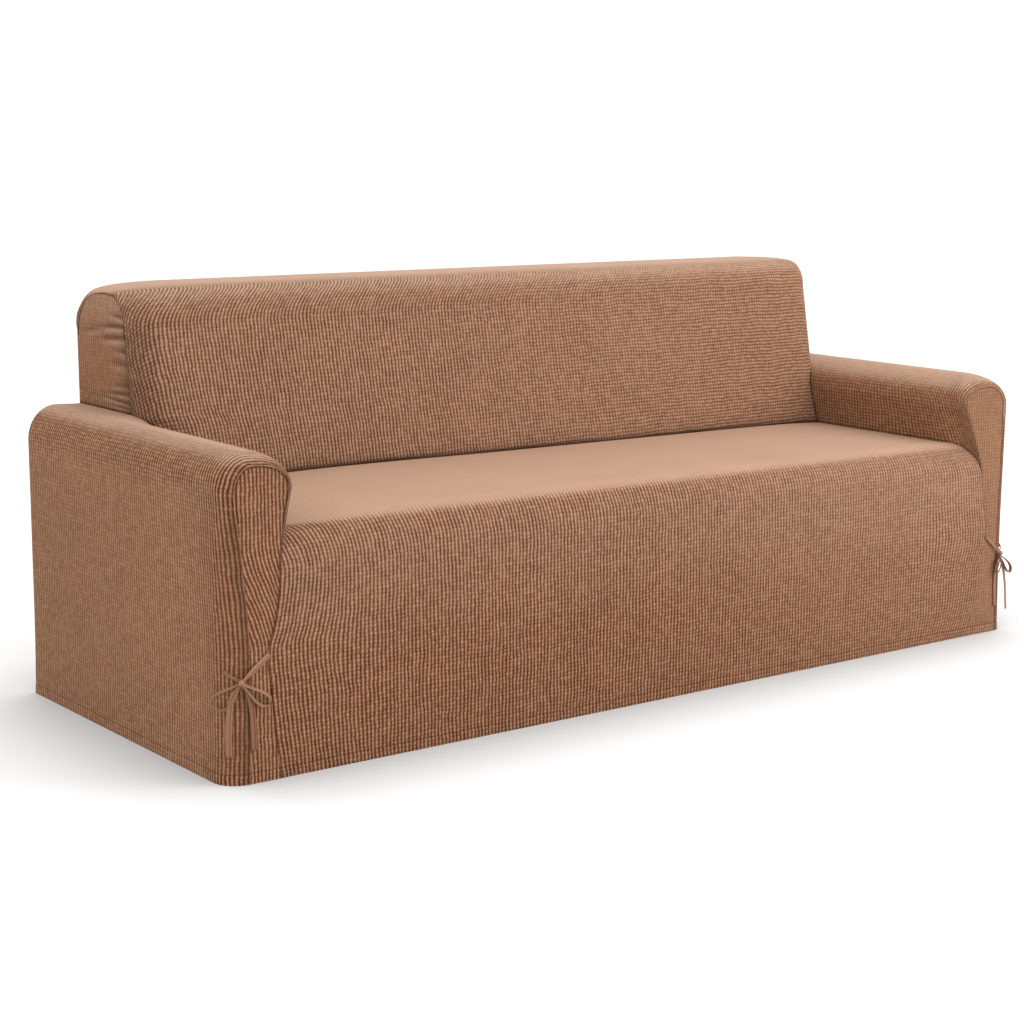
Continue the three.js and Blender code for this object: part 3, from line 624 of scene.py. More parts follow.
def makeSeat():
    look = seatLook
    left, middle, right = look["columns"]
    edge = look["edge"]
    share = joined(steps(0, edge, left), steps(edge, 1 - edge, middle), steps(1 - edge, 1, right))
    places, edgesX = [], []
    outer = [smooth(share, edge, 0), smooth(share, 1 - edge, 1)]

    def addRow(edges, place, rounded=0):
        y, z = place(lerp(*edges, share))
        places.append(placed(lerp(*edges, share) + rounded * (outer[1] - outer[0]), y, z))
        edgesX.append(edges)

    def besideArms(place):
        edges = []
        for arm in arms:
            y, z = place(arm["sign"] * seat["edgeX"])
            edges.append(arm["sign"] * (armFaceX(arm, z, y) - buttGap))
        return edges

    creaseRows, deckRows, rollRows, apronRows = look["rows"]
    creaseY = back["footY"] - 3 * buttGap
    behind = steps(creaseY, creaseY - look["behind"], creaseRows)
    for y in joined(behind, steps(behind[-1], rollStartY, deckRows)):
        def deckAt(x):
            return y, deckZ(x, y)

        addRow(besideArms(deckAt), deckAt)
    for t in steps(0, 1, rollRows)[1:-1]:
        def rollAt(x):
            return seatEdge(x, t)

        addRow(besideArms(rollAt), rollAt, roundedBy(*rollAt(seat["edgeX"])))
    for z in joined(steps(seat["rollFoot"], hem["rows"][-1], apronRows), hem["rows"][::-1]):
        puff = seat["puff"] * math.sin(z / seat["rollFoot"] * math.pi)
        addRow([arm["sign"] * (through(arm["seam"], z) - gap) for arm in arms],
               lambda x: (frontY - puff * np.sin(share * math.pi), z), roundedBy(frontY, z))
    points = np.array(places)
    edgesX = np.array(edgesX)
    x, y, z = np.moveaxis(points, -1, 0)
    up = runLength(points, 0, (1, 2))
    up = up[-1:] - up
    left, right = edgesX[:, :1], edgesX[:, 1:]
    fromLeft, fromRight = x - left, right - x
    nearLeft, nearRight = [1 - smooth(far, 0, look["follow"]) for far in (fromLeft, fromRight)]
    across = x - nearLeft * (left - left[-1]) - nearRight * (right - right[-1])
    relief, line, _ = hemFacts(z)
    onApron = smooth(-y, 330, 415)
    for pitch, start, high in look["waves"]:
        relief = relief + onApron * high * np.sin(x * pitch * 2 + start) * np.sin(z * math.pi / 400)
    # painted shade in the crease behind the cushion and beside the arms
    crease = bump(up, up.max(), 5)
    beside = np.maximum(bump(fromLeft, 0, 4), bump(fromRight, 0, 4)) * (1 - onApron * 0.6)
    smoothAt, later, reach = look["smoothAt"]
    past = y - smoothAt - later * np.exp(-fromLeft / reach)
    flat = smooth(past, -13, 4) * lerp(0.8, 1, smooth(past, -4, 30))
    dying = smooth(past, -7, 7)
    toRight = smooth(x, -300, 900)
    # painted highlight on the level deck, at the apron's top and right end, and on the right seam's ridge
    ridge = onApron * (z < 380) * bump(x, right - 2.5, 2.2) * beaded(z, knit["rowPitch"], 0.4)
    pale = onApron * (look["pale"][0] * smooth(z, 150, 400) + look["pale"][1] * toRight)
    drawn, fade, foot, high = look["drawnIn"]
    climb = np.clip((up - foot) / high, 0, 1.3) ** 2
    drawnIn = drawn * np.exp(-fromLeft / fade) * climb
    low = onApron * (1 - smooth(z, *aboveTies))
    dark = np.maximum(crease, beside * np.where(x > 0, 1 - 0.75 * onApron, 1 - low))
    facts = {
        "relief": (relief + 0.9 * ridge) * (up > 0.5), "u": across + drawnCloser(look, x) + drawnIn, "v": up,
        "weave": lerp(lerp(*look["weave"], toRight), levelWeave, dying),
        "pale": unit(np.maximum(flat, pale) + look["seamPale"] * ridge),
        **{key: lerp(*look[key], toRight) for key in ("ribShare", "rowShare")},
        "seam": unit(line + look["creaseShade"] * dark),
    }
    stretched("seat_front", points, facts, -1)


makeSeat()
print("seat and apron made")


# inside back and top
backLook = {
    "columns": (40, 200, 40),  # left turn, middle, right turn
    "rows": (56, 20, 16, 10),  # face, front edge, top, rear edge
    "ribShare": (1.0, 0.5),  # left and right
    "rowShare": (0.4, 0.75), "weave": 0.92, "tighter": 0.08, "pale": (0.25, 0.18),
    "lean": (42, 260),  # mm that ribs at the foot are drawn in by the left end, fading over this far
    "paleAt": (1.15, 1.7),  # where the cloth turns pale with painted highlight, and then loses its ribs, up and over the edge
    "smoothAt": (1.9, 2.4),
    "gathered": (90, 0.24),  # mm from the left end where the beads are gathered, and how dark its painted shade is
    "tickPitch": 9,
}


def makeBack():
    look = backLook
    heights = back["rollZ"][0] - back["footZ"]
    counts = look["rows"]
    q = joined(*[steps(i, i + 1, n) for i, n in enumerate(counts)])
    ends = []
    for arm in arms:
        z = back["footZ"] + q * heights
        turn = np.full(len(q), 0.5)
        for _ in range(50):
            y = backPoint(arm, q, turn)[1]
            found = turnAt(arm, q, np.minimum(armFaceX(arm, z, y) - cover["backGap"], arm["backX"]))
            turn = lerp(turn, found, 0.3)
        ends.append(np.where(z >= armTopZ, 1, turn))
    leftCount, middleCount, rightCount = look["columns"]
    rows = []
    for at, leftEnd, rightEnd in zip(q, *ends):
        a = placed(*backPoint(leftArm, at, steps(leftEnd, 0, leftCount)))
        b = placed(*backPoint(rightArm, at, steps(0, rightEnd, rightCount)))
        x = steps(a[-1, 0], b[0, 0], middleCount)[1:-1]
        rows.append(np.concatenate([a, placed(x, *backMiddle(x, at)), b]))
    points = np.array(rows)
    x, y, z = np.moveaxis(points, -1, 0)
    across = runLength(points, 1, (0, 1))
    across = across - across[:, across.shape[1] // 2][:, None]
    up = runLength(points, 0, (1, 2))
    fromLeft = runLength(points, 1)
    fromRight = fromLeft[:, -1:] - fromLeft
    drawn, fade = look["lean"]
    lean = drawn * np.exp(-fromLeft / fade) * (1 - smooth(up, 0, 330))
    low = z < armTopZ + 2
    high = smooth(q, 0.8, 1.2)[:, None] * (1 - smooth(q, 3.2, 3.8)[:, None])
    # painted shade along the side edges, in the gathers by the left end and in the crease at the foot
    atEdge = np.maximum(bump(fromLeft, 0, 3), bump(fromRight, 0, 3))
    near, dark = look["gathered"]
    ticks = beaded(up + 0.5 * fromLeft, look["tickPitch"], 0.5)
    gathered = (1 - high) * (1 - smooth(fromLeft, near / 3, near))
    gathered = gathered * (dark + 0.35 * ticks * bump(fromLeft, 7, 6))
    edgeShade = np.where(low, 0.65, 0.2 + 0.3 * high) * (1 - smooth(y, 290, 330))
    aboveDeck = np.maximum(0, z - deckZ(x, back["footY"]))
    crease = 0.85 * bump(aboveDeck, 0, 5.5) + 0.26 * bump(aboveDeck, 0, 20)
    # painted highlight over the top edge, and a little over the whole face, more at the left
    onTop = 0.62 * smooth(q, *look["paleAt"]) + 0.38 * smooth(q, *look["smoothAt"])
    onTop = (onTop * (1 - smooth(q, 3.1, 3.6)))[:, None]
    ribless = (smooth(q, *look["smoothAt"]) * (1 - smooth(q, 3.1, 3.5)))[:, None]
    corners = lerp(9, 45, smooth(q, 2.4, 3.1))[:, None]
    toRight = smooth(x, -500, 900)
    facts = {
        "relief": cloth * smooth(np.minimum(fromLeft, fromRight), 0, corners),
        "u": across - lean + drawnCloser(look, x), "v": up, "weave": lerp(look["weave"], levelWeave, ribless),
        "pale": np.maximum(onTop, lerp(*look["pale"], toRight)),
        "ribShare": lerp(*look["ribShare"], toRight),
        "rowShare": lerp(*look["rowShare"], toRight) + 0.25 * (1 - smooth(fromLeft, 30, 90)),
        "seam": unit(crease + edgeShade * atEdge + gathered),
    }
    stretched("back_front_top", points, facts, 1)


makeBack()
print("inside back made")


def wallShares(count):
    # q up the outer wall, with the hem's finer rows first
    levels = joined(hem["rows"], steps(hem["rows"][-1], outerRows[-1], count))
    q = steps(0, 1, 400)
    return np.interp(levels, wallHeight(q), q)


# outside back
outerBackLook = {
    "columns": 160,
    "rows": (56, 10, 24),  # wall, arch, above the arms
    # pale: a faint painted highlight
    "weave": 0.8, "rowShare": 0.35, "pale": 0.05,
}


def makeOuterBack():
    look = outerBackLook
    wallRows, archRows, aboveRows = look["rows"]
    q = joined(wallShares(wallRows), steps(1, 2, archRows))
    ends = []
    for arm in arms:
        edge = endEdge(arm, q, rearY, rearRadius(q), buttGap)
        inner = arm["sign"] * (arm["backX"] - rearRound - gap)
        above = steps(edge[-1, 2] + 0.2, backPoint(arm, 4, 0)[2] - gap, aboveRows)
        ends.append(np.concatenate([edge, placed(inner, rearY, above)])[:, None])
    points = lerp(*ends, steps(0, 1, look["columns"])[:, None])
    x, _, z = np.moveaxis(points, -1, 0)
    relief, line, inBand = hemFacts(z)
    facts = {
        "relief": relief, "u": x, "v": z, "seam": line, "weave": lerp(look["weave"], 1, inBand),
        "rowShare": look["rowShare"], "pale": look["pale"],
    }
    stretched("back_outer", points, facts, -1)


makeOuterBack()
print("outside back made")


# arms
armLook = {
    "rows": (64, 40, 16),  # outer wall, arch, inner side
    "columns": (14, 12, 100, 10),  # edge strip, rest of the front edge, along the arm, rear corner
    "strip": 0.66,  # how far round the front corner the edge strip reaches
    "beads": 8.5,  # mm from bead to bead along the seam
    "weltAt": 3.4, "weltWidth": 2.0,
    "frontShade": 0.42,  # painted shade in the soft fold down the outer front corner
    "wallShade": (0.05, 0.12),  # painted shade on the outer wall, more towards its rear
    "cornerWeave": 0.75,  # on the outer front corner, below the arch
    "levelSmooth": (0.975, 1.0),  # how level the cloth lies where its ribs are pulled flat
    "levelWeave": 0.45,
    # mm that the seam's roll stands up, how pale its painted highlight is, how level the cloth lies where it
    # turns pale with painted highlight, and three looks at the front corner, on the outer wall, over the
    # shoulder and inside
    "left": {
        "welt": 1.7, "weltPale": 0.4, "levelPale": (0.6, 0.99), "weave": (1.0, 0.85, 1.0, 0.9),
        "ribShare": (1.0, 0.7, 0.85, 0.7), "rowShare": (0.25, 0.2, 0.4, 0.5),
    },
    "right": {
        "welt": 0.8, "weltPale": 0.85, "levelPale": (0.42, 0.99), "weave": (0.9, 0.85, 1.0, 0.78),
        "ribShare": (0.8, 0.7, 0.85, 0.65), "rowShare": (0.3, 0.3, 0.5, 0.45),
    },
}


def makeArm(arm):
    look = {**armLook, **armLook[arm["name"]]}
    counts = look["rows"]
    q = joined(wallShares(counts[0]), steps(1, 3, counts[1]), steps(3, 4, counts[2]))
    columns, places, pastY = [], [], []

    def addColumn(y, end, turn, reachAt):
        at = rowAt(q, end)
        columns.append(armPoint(arm, at, y, turn, reachAt(at)))
        places.append(at)

    length = frontTurn(arm, q)[1]
    stripCount, edgeCount, alongCount, rearCount = look["columns"]
    for turn in joined(steps(1, look["strip"], stripCount), steps(look["strip"], 0, edgeCount)):
        y = frontY + length * (1 - math.sin(turn * quarter))
        addColumn(y, armEnd(arm, y), turn, lambda at: frontTurn(arm, at)[0])
    radius = rearRadius(rowAt(q, 3))
    for share in steps(0, 1, alongCount)[1:-1]:
        y = lerp(frontY + length, rearY - radius, share)
        addColumn(y, armEnd(arm, y), 0.0, np.zeros_like)
    for turn in steps(0, 1, rearCount):
        y = rearY - radius * (1 - math.sin(turn * quarter))
        addColumn(y, armRearEnd(arm, y), turn, rearRadius)
        angle = turn * quarter
        pastY.append(radius * (angle - math.sin(angle)))
    points = np.stack(columns, 1)
    places = np.stack(places, 1)
    _, y, z = np.moveaxis(points, -1, 0)
    eased = (places > 2) * (1 - smooth(places, 2, 2.35)) * smooth(y, side["levelFrom"], side["levelTo"])
    z += side["levelDrop"] * eased
    along = runLength(points, 0, (0, 2))
    fromFront = runLength(points, 1)
    alongY = y - frontY
    alongY[:, -len(pastY):] += np.stack(pastY, 1)
    across = lerp(fromFront, alongY, smooth(fromFront, 80, 420))
    outside = q[:, None] <= 1
    onArch = (smooth(q, 0.74, 1.0) * (1 - smooth(q, 3.3, 3.9)))[:, None]
    welt = look["welt"] * onArch * bump(fromFront, look["weltAt"], look["weltWidth"])
    valleyAt = look["weltAt"] + 2.6 * look["weltWidth"]
    valley = 0.6 * onArch * bump(fromFront, valleyAt, look["weltWidth"])
    relief, line, inBand = hemFacts(z)
    # painted shade in the valley beside the roll
    fold = 0.3 * onArch * bump(fromFront, valleyAt, 2)
    relief = np.where(outside, relief, 0) + welt - valley
    beads = beaded(along, look["beads"], 0.35)
    # painted highlight on the seam's beaded roll, and painted shade on the outer wall and in the front
    # corner's fold
    light = look["weltPale"] * onArch * bump(fromFront, 1.5, 2.4) * beads
    dull = lerp(*look["wallShade"], smooth(fromFront, 100, 800)) * smooth(fromFront, 20, 80)
    dull = dull * (1 - smooth(q, 0.7, 1.0))[:, None]
    corner = look["frontShade"] * (1 - onArch) * bump(fromFront, 8, 13)
    # painted highlight where the arm's top lies level
    up = normalsOf(points)[..., 2] * arm["sign"]
    pale = smooth(up, *look["levelPale"])
    weave = lerp(1, look["levelWeave"], smooth(up, *look["levelSmooth"]))
    behindEdge = smooth(fromFront, 6, 40)

    def mixed(key):
        # from the front edge back along the outer wall, and over the shoulder
        front, wall, over, inside = look[key]
        around = lerp(lerp(wall, over, smooth(q, 0.82, 1.15)), inside, smooth(q, 2, 2.6))
        if key == "weave":
            front = lerp(look["cornerWeave"], front, onArch)
        return lerp(front, around[:, None], smooth(fromFront, 30, 150))

    facts = {
        "relief": relief, "u": across, "v": along,
        "pale": np.maximum(pale * lerp(0.45, 1, behindEdge), light),
        "weave": np.maximum(mixed("weave") * lerp(1, weave, behindEdge), np.where(outside, inBand, 0)),
        "ribShare": mixed("ribShare"), "rowShare": mixed("rowShare"),
        "seam": unit(np.where(outside, line, 0) + corner + dull + fold),
    }
    stretched("arm_" + arm["name"], points, facts, arm["sign"])


for arm in arms:
    makeArm(arm)
print("arms made")


# arm fronts
armFrontLook = {
    "split": 8,  # fine cells in each of the solid's
    "tighter": 1.07,  # ribs lie this much closer than on the apron
    "lean": 62,  # mm that the ribs drift towards the seam on their way down
    "leanFrom": 460, "leanTo": 230, "stitchPitch": 8.0,
    "left": {
        "weave": 0.82, "ribShare": 1.0, "rowShare": 0.25, "pale": 0.0,
        "dull": 0.0, "grooveShade": 0.85, "seamShade": 0.35,
    },
    # right: painted highlight and painted shade over the whole front
    "right": {
        "weave": 0.58, "ribShare": 0.55, "rowShare": 0.35, "pale": 0.12,
        "dull": 0.13, "grooveShade": 0.4, "seamShade": 0.1,
    },
}
archCells = 8


def makeArmFront(arm):
    look = {**armFrontLook, **armFrontLook[arm["name"]]}
    sign = arm["sign"]

    def edgeAt(q):
        return endEdge(arm, q, frontY, frontTurn(arm, q)[0], gap)

    wall = np.linspace(0, 1, len(outerRows))
    q = joined(wall, steps(1, 3, archCells), steps(3, 4, 4))
    split = look["split"]
    shoulder = len(outerRows) - 1 + archCells // 4
    over = shoulder + archCells // 2
    hemSplit = joined(hem["rows"], steps(hem["rows"][-1], outerRows[1], split - 1)) / outerRows[1]
    left = edgeAt(alongCells(q[:shoulder + 1], split, hemSplit))
    top = edgeAt(alongCells(q[shoulder:over + 1], split))
    inner = edgeAt(alongCells(q[over:], split))[::-1]
    seamZ = alongCells(outerRows[:7], split, hemSplit)[:-1]
    seamLine = placed(sign * (through(arm["seam"], seamZ) + gap), frontY, seamZ)
    right = np.concatenate([seamLine, inner])
    bottom = lerp(left[:1], right[:1], np.linspace(0, 1, len(top))[:, None])
    points = between(bottom, top, left, right)
    upward, sideways = [np.sin(np.linspace(0, 1, count) * math.pi) for count in points.shape[:2]]
    points[..., 1] -= side["puff"] * upward[:, None] * sideways
    x, z = points[..., 0], points[..., 2]
    rim = np.concatenate([left, top, inner])
    toRim, nearest = nearestOf(rim, points, slice(0, 3, 2))
    onArch = smooth(rim[nearest][..., 2], 430, 520)
    dots = beaded(runLength(rim[None], 1)[0][nearest], look["stitchPitch"], 0.34)
    # painted shade in the groove along the arch seam and beside the side seam
    shadedGroove = look["grooveShade"] * onArch * bump(toRim, 1.5, 2.8) * dots
    toSeam = np.abs(x - sign * through(arm["seam"], z))
    above = smooth(z, *aboveTies) * (z < 400)
    seamShade = look["seamShade"] * bump(toSeam, 0, 3) * above
    drift = look["lean"] * (1 - smooth(z, look["leanTo"], look["leanFrom"]))
    relief, line, inBand = hemFacts(z)
    relief = relief - 1.2 * onArch * bump(toRim, 0, 4)
    facts = {
        "relief": relief, "u": (x - (drift if sign < 0 else 0)) * look["tighter"], "v": z,
        "seam": unit(line + shadedGroove + seamShade + look["dull"]),
        "weave": np.maximum(look["weave"], inBand),
        **{key: look[key] for key in ("pale", "ribShare", "rowShare")},
    }
    stretched("arm_front_" + arm["name"], points, facts, -sign)


for arm in arms:
    makeArmFront(arm)
print("arm fronts made")


# sides of the back
gusset = {
    "split": 12, "weave": 0.55, "ribShare": 0.8, "rowShare": 0.25, "topPale": 0.3,
    # soft creases: place along Y, height, half length, half width, depth, tilt
    "creases": [
        (205, 812, 40, 6, 2.4, 0.08), (225, 792, 55, 7, 2.6, -0.05), (235, 768, 60, 8, 2.2, -0.06),
        (195, 742, 36, 7, 1.6, 0.06), (205, 716, 45, 9, 1.4, 0.04), (200, 672, 50, 6, 1.6, -0.04),
        (215, 655, 60, 6, 2.4, -0.04), (228, 640, 70, 5, 2.6, 0.03), (215, 628, 50, 4, 1.8, 0.02),
        (330, 780, 50, 8, 1.2, -0.12),
    ],
    "pucker": (214, 838, 8, 2.6),
    "frontShade": (36, 0.34, 9),  # mm wide, how dark its painted shade is, mm between the ticks of the gathered edge
}


def armTopAt(arm, x, y):
    q = solve(lambda t: armOutline(arm, t, y)[0] - x, 2, 3, np.shape(y))
    return armOutline(arm, q, y)[1] - rearDrop(y)


def makeGusset(arm):
    look = gusset
    split = look["split"]
    rear = rearY - rearRound
    heights = back["rollZ"][1] - back["footZ"]

    def sideAt(y, z, turn=0.0):
        angle = np.asarray(turn) * quarter
        x = arm["backX"] - rearRound * (1 - np.cos(angle))
        return placed(arm["sign"] * x, y + rearRound * np.sin(angle), z)

    def onArm(y, turn=0.0):
        p = sideAt(y, 0, turn)
        p[..., 2] = armTopAt(arm, np.abs(p[..., 0]), p[..., 1]) + buttGap
        return p

    def edgeAt(q):
        ay, az = backEnd(q - 0.01)
        by, bz = backEnd(q + 0.01)
        length = np.hypot(by - ay, bz - az)
        y, z = backEnd(q)
        return sideAt(y + (bz - az) / length * gap, z + (ay - by) / length * gap)

    over = edgeAt(alongCells(joined(steps(1, 2, 4), steps(2, 3, 3), steps(3, 4, 3)), split))
    over[-1, 1] = rear
    corner = steps(0, 1, 4 * split)[1:]
    firstY = backEnd((armTopZ - back["footZ"]) / heights)[0] + gap
    bottom = np.concatenate([onArm(np.linspace(firstY, rear, len(over))), onArm(rear, corner)])
    low = (bottom[0, 2] - back["footZ"]) / heights
    left = np.concatenate([bottom[:1], edgeAt(steps(low, 1, 5 * split)[1:])])
    over[0] = left[-1]
    cornerTop = sideAt(rear, backPoint(arm, 4, 1 - corner)[2] - gap, corner)
    top = np.concatenate([over, cornerTop])
    right = lerp(bottom[-1], top[-1], np.linspace(0, 1, len(left))[:, None])
    points = between(bottom, top, left, right)
    y, z = points[..., 1], points[..., 2]
    relief, shade, light = np.zeros((3, *y.shape))
    # painted shade in each crease and painted highlight on its raised side
    for atY, atZ, halfLength, halfWidth, depth, tilt in look["creases"]:
        offset = z - atZ - tilt * (y - atY)
        fade = bump(y, atY, halfLength)
        relief -= depth * fade * bump(offset, 0, halfWidth)
        relief += 0.5 * depth * fade * bump(offset, 1.7 * halfWidth, halfWidth)
        shade += 0.28 * depth * fade * bump(offset, 0, 0.6 * halfWidth)
        light += 0.24 * depth * fade * bump(offset, -1.2 * halfWidth, 0.8 * halfWidth)
    atY, atZ, size, depth = look["pucker"]
    relief -= depth * bump(np.hypot(y - atY, z - atZ), 0, size)
    rim = np.concatenate([left, top])
    toRim, _ = nearestOf(rim, points, slice(1, 3))
    toArm = z - np.interp(y, bottom[:, 1], bottom[:, 2])
    relief -= bump(toRim, 0, 3)
    fromFront = runLength(points, 1)
    wide, dark, pitch = look["frontShade"]
    ticks = beaded(z - 0.6 * fromFront, pitch, 0.5)
    onTop = smooth(z, 815, 835)
    # painted shade along the gathered front edge, the top rim and the join with the arm
    front = (1 - onTop) * bump(fromFront, 0, wide) * (dark + 0.3 * ticks * bump(fromFront, 4, 6))
    shade += front + 0.7 * onTop * (1 - smooth(y, 290, 330)) * bump(toRim, 0, 2.5) + 0.7 * bump(toArm, 0, 4)
    around = np.arcsin(unit((y - rear) / rearRound)) * rearRound
    # painted highlight near the top
    facts = {
        "relief": relief, "u": np.minimum(y, rear) + around, "v": z,
        "weave": look["weave"] + 0.3 * bump(toArm, 20, 16),
        "ribShare": look["ribShare"], "rowShare": look["rowShare"], "seam": unit(shade),
        "pale": unit(light + look["topPale"] * smooth(z, 770, 840)),
    }
    stretched("back_side_" + arm["name"], points, facts, arm["sign"])


for arm in arms:
    makeGusset(arm)
print("sides of the back made")


# ties
tieLook = {
    "width": 12, "neck": 5, "loopWidth": 9, "thickness": 1.3,
    "cup": 0.9,  # mm that the pressed fold's middle stands proud of its edges
    "knot": (5.6, 4.6, 1.0),  # radius, half depth of the inner tie's knot and of the outer's pad behind it
    "wrap": 0.7,  # mm that the knot's turns stand out
    "inKnot": 0.03,  # metres of tape in the knot
}
# shades: painted shade over the strap and over the tail
ties = [
    {
        "name": "tie_left_inner", "knot": (-1019.5, -428.3, 197), "round": True, "facing": -22,
        "strap": [(-957, -425, 241), (-990, -428.5, 219)], "strapWidth": 12, "strapFacing": 0,
        "shades": (0.12, 0.38), "loop": (-962, -430, 150), "spread": 17, "bulge": 6, "tilt": 30,
        "tail": [(-1004, -428, 173), (-997, -426.6, 145), (-993, -426, 64)], "tailFacing": 0,
    },
    {
        "name": "tie_left_outer", "knot": (-1015.1, -422.5, 197), "round": False, "facing": -22,
        "strap": [(-1043, -402, 217), (-1033, -415, 208)], "strapWidth": 6.5, "strapFacing": -58,
        "shades": (0.25, 0.08), "loop": (-1058, -391, 148), "spread": 26, "bulge": 9, "tilt": 56,
        "tail": [(-1031, -416, 170), (-1037, -411.5, 130), (-1039, -410.5, 55)], "tailFacing": -45,
    },
    {
        "name": "tie_right_inner", "knot": (1040, -431, 190), "round": True, "facing": 20,
        "strap": [(993, -425, 235), (1012, -429, 216)], "strapWidth": 9, "strapFacing": 0,
        "shades": (0.1, 0.1), "loop": (1026, -435, 144), "spread": 11, "bulge": 3, "tilt": 60,
        "tail": [(1031, -430, 167), (1030, -425.5, 130), (1034, -425, 61)], "tailFacing": 8,
    },
    {
        "name": "tie_right_outer", "knot": (1039, -423.4, 189), "round": False, "facing": 14,
        "strap": [(1067.8, -380, 212), (1066.7, -399, 206), (1057.5, -415, 199)], "strapWidth": 6.5,
        "strapFacing": 90, "shades": (0.2, 0.05), "loop": (1071, -435, 143), "spread": 15, "bulge": 3,
        "tilt": 12, "tail": [(1050, -428, 164), (1055, -433, 130), (1063, -434, 53)], "tailFacing": 25,
    },
]


def facingAt(degrees):
    a = math.radians(degrees)
    return Vector((math.sin(a), -math.cos(a), 0))


def routePoints(places, count):
    # a centripetal Catmull-Rom line, with points mirrored past its ends
    p = [Vector(q) for q in places]
    p = [p[0] * 2 - p[1]] + p + [p[-1] * 2 - p[-2]]
    spans = len(p) - 3
    found = []
    for i in range(count + 1):
        at = min(i / count * spans, spans - 1e-6)
        k = int(at)
        near = p[k:k + 4]
        times = [0]
        for a, b in zip(near, near[1:]):
            times.append(times[-1] + math.sqrt((b - a).length))
        t = lerp(times[1], times[2], at - k)

        def between(a, b, start, end):
            return a * ((end - t) / (end - start)) + b * ((t - start) / (end - start))

        for reach in (1, 2):
            near = [between(*pair) for pair in zip(near, near[1:], times, times[reach:])]
        found.append(between(*near, times[1], times[2]))
    return found


def strip(name, line, spans, edgeShade, shade):
    across = steps(-0.5, 0.5, 6)
    points = np.array([[list(p + s * a) for a in across] for p, s in zip(line, spans)])
    w = 2 * across + 0 * points[..., 0]
    # the seam fact is painted shade, over the whole strip and along one edge
    facts = {
        "relief": tieLook["cup"] * (1 - w**2), "u": runLength(points, 1), "v": runLength(points, 0),
        "seam": shade + edgeShade * bump(w, -0.35, 0.16),
    }
    return makeSheet(name, points, facts, tapeMaterial, tieLook["thickness"])


def flatStrip(name, places, widths, turn, facings, shade, count=36):
    line = routePoints(places, count)
    spans = []
    for i in range(count + 1):
        t = i / count
        along = (line[min(i + 1, count)] - line[max(i - 1, 0)]).normalized()
        width = lerp(*widths, float(smooth(t, *turn)))
        spans.append(along.cross(facingAt(lerp(*facings, t))).normalized() * width)
    return strip(name, line, spans, 0.5, shade)


def looped(name, tie, count=64):
    knot, tip = Vector(tie["knot"]), Vector(tie["loop"])
    out = facingAt(tie["facing"])
    across = (tip - knot).cross(out).normalized() * tie["spread"]
    line, spans = [], []
    for i in range(count + 1):
        t = i / count
        far = (1 - math.cos(2 * math.pi * t)) / 2
        line.append(knot.lerp(tip, far) + across * (math.sin(2 * math.pi * t) * far)
                    + out * (tie["bulge"] * math.sin(far * math.pi)))
        wide = math.sin(t * math.pi)
        lean = lerp(quarter, math.radians(tie["tilt"]), float(smooth(wide, 0, 0.6)))
        span = out * math.cos(lean) + across.normalized() * math.sin(lean)
        spans.append(span.normalized() * lerp(tieLook["neck"], tieLook["loopWidth"], wide))
    return strip(name, line, spans, 0.3, 0.1)


def knotMesh(name, tie):
    # a ball drawn in by the turn that goes over it
    radius, half, pad = tieLook["knot"]
    bm = bmesh.new()
    bmesh.ops.create_uvsphere(bm, u_segments=28, v_segments=18, radius=1)
    depth = half if tie["round"] else pad
    for v in bm.verts:
        scale = radius + tie["round"] * tieLook["wrap"] * math.cos(v.co.x * 7) * (1 - v.co.x**2)
        v.co = Vector((v.co.x * scale, v.co.y * depth * (scale / radius), v.co.z * scale * 0.96))
    turned = Vector((0, -1, 0)).rotation_difference(facingAt(tie["facing"])).to_matrix()
    bmesh.ops.rotate(bm, verts=bm.verts, matrix=turned)
    bmesh.ops.translate(bm, verts=bm.verts, vec=Vector(tie["knot"]))
    bmesh.ops.scale(bm, verts=bm.verts, vec=Vector((mm, mm, mm)))
    uv = bm.loops.layers.uv.new("grain")
    for face in bm.faces:
        for loop in face.loops:
            loop[uv].uv = (loop.vert.co.x / mm, loop.vert.co.z / mm)
    mesh = meshFrom(bm, name)
    mesh.shade_smooth()
    for key in sheetFacts:
        mesh.attributes.new(key, "FLOAT", "POINT")
    mesh.materials.append(tapeMaterial)
    return linked(name, mesh)


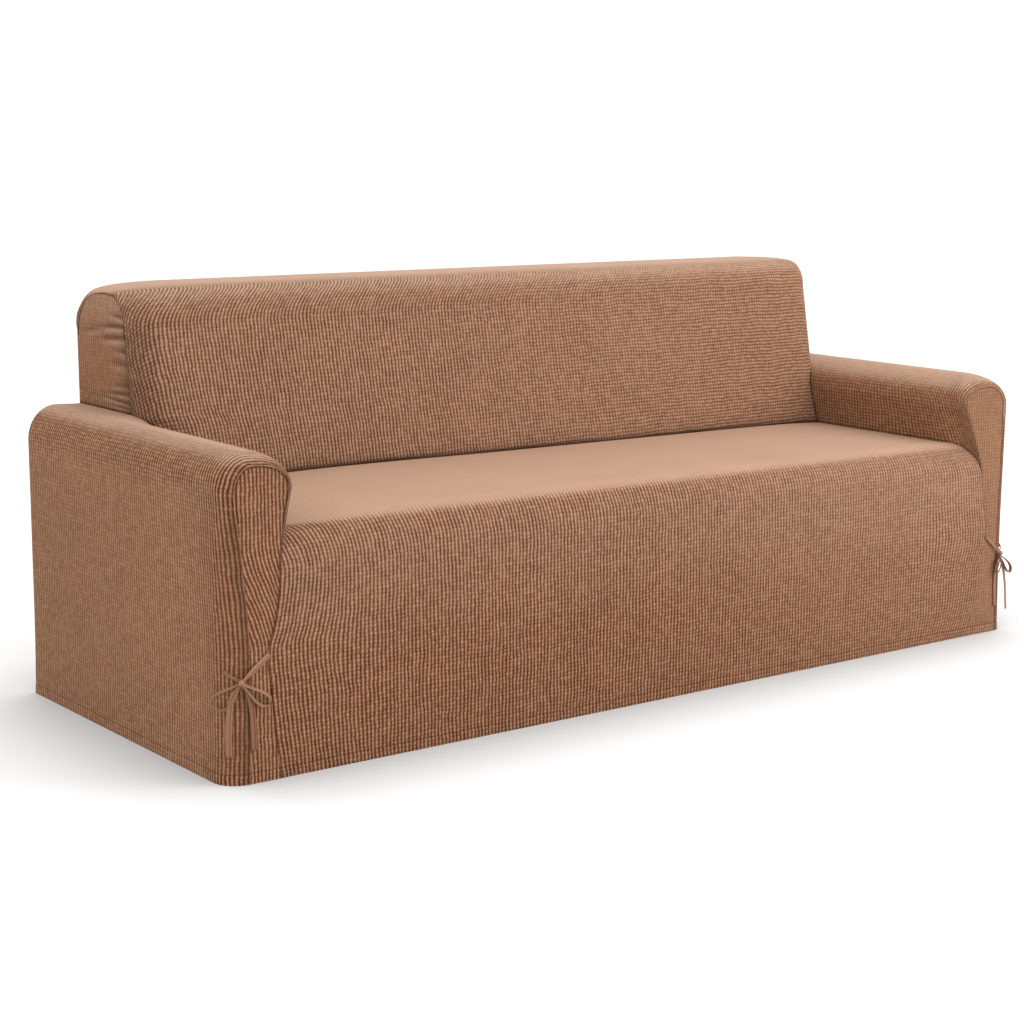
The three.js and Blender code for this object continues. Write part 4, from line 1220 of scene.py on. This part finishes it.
def makeTie(tie):
    name = named(tie["name"])
    neck, knot, turns = tieLook["neck"], [tie["knot"]], (tie["strapFacing"], tie["facing"], tie["tailFacing"])
    strapShade, tailShade = tie["shades"]
    strap = flatStrip(name, tie["strap"] + knot, (tie["strapWidth"], neck), (0.4, 1), turns[:2], strapShade)
    wide = tieLook["width"]
    tail = flatStrip(name + "Tail", knot + tie["tail"], (neck, wide), (0, 0.5), turns[1:], tailShade)
    parts = [strap, tail, looped(name + "Loop", tie), knotMesh(name + "Knot", tie)]
    for part in parts[:3]:
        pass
    depsgraph = bpy.context.evaluated_depsgraph_get()
    bm = bmesh.new()
    for part in parts:
        bm.from_mesh(bpy.data.meshes.new_from_object(part.evaluated_get(depsgraph)))
    mesh = meshFrom(bm, name)
    mesh.shade_smooth()
    mesh.materials.append(tapeMaterial)
    for part in parts:
        bpy.data.objects.remove(part)
    dressed(linked(name, mesh), tie["name"])


for tie in ties:
    makeTie(tie)
print("ties made")


# floor, light and camera
studio = {
    "floor": "#D6D6D6",
    "closeBy": 0.27,  # metres: painted contact shadow, the floor is dimmer this close to the cover
    "dim": 0.5,
    "world": 1.62,
    "key": (3.2, -3.6, 2.4, 2.5, 118),  # place, size in metres and watts
    "top": (0.2, -0.2, 4.6, 4.0, 31),
}
view = {
    "lens": (75.47, 36),  # mm: focal length and sensor width
    "place": (-2.876, -3.769, 1.212), "down": 10.43, "turned": -36.48,  # metres and degrees
}


def makeFloor():
    bm = bmesh.new()
    bmesh.ops.create_grid(bm, x_segments=1, y_segments=1, size=30)
    mesh = meshFrom(bm, "floor")
    material, add = newMaterial("studioFloorWithPaintedShadow")
    # painted contact shadow: the floor's colour darkens by ambient occlusion near the cover
    closeBy = add("AmbientOcclusion", {"Distance": studio["closeBy"]}).outputs["AO"]
    dimmed = add("Math MULTIPLY_ADD", [closeBy, studio["dim"], 1 - studio["dim"]])
    painted = add("HueSaturation", {"Color": linear(studio["floor"]), "Value": dimmed})
    add("OutputMaterial", {"Surface": add("BsdfDiffuse", {"Color": painted})})
    mesh.materials.append(material)
    linked("floor", mesh)


makeFloor()
for name in ("key", "top"):
    x, y, z, size, watts = studio[name]
    light = bpy.data.lights.new(name, "AREA")
    light.size, light.energy = size, watts
    box = linked(name, light)
    box.location = (x, y, z)
    box.rotation_euler = (Vector((0, 0, 0.35)) - box.location).to_track_quat("-Z", "Y").to_euler()
world = bpy.data.worlds.new("studio")
scene.world = world
world.use_nodes = True
for i, value in enumerate([(1, 1, 1, 1), studio["world"]]):
    world.node_tree.nodes["Background"].inputs[i].default_value = value
scene.view_settings.view_transform = "Standard"

lens = bpy.data.cameras.new("camera")
lens.lens, lens.sensor_width = view["lens"]
camera = linked("camera", lens)
camera.location = view["place"]
camera.rotation_euler = (quarter - math.radians(view["down"]), 0, math.radians(view["turned"]))
scene.camera = camera
print("floor, light and camera set")
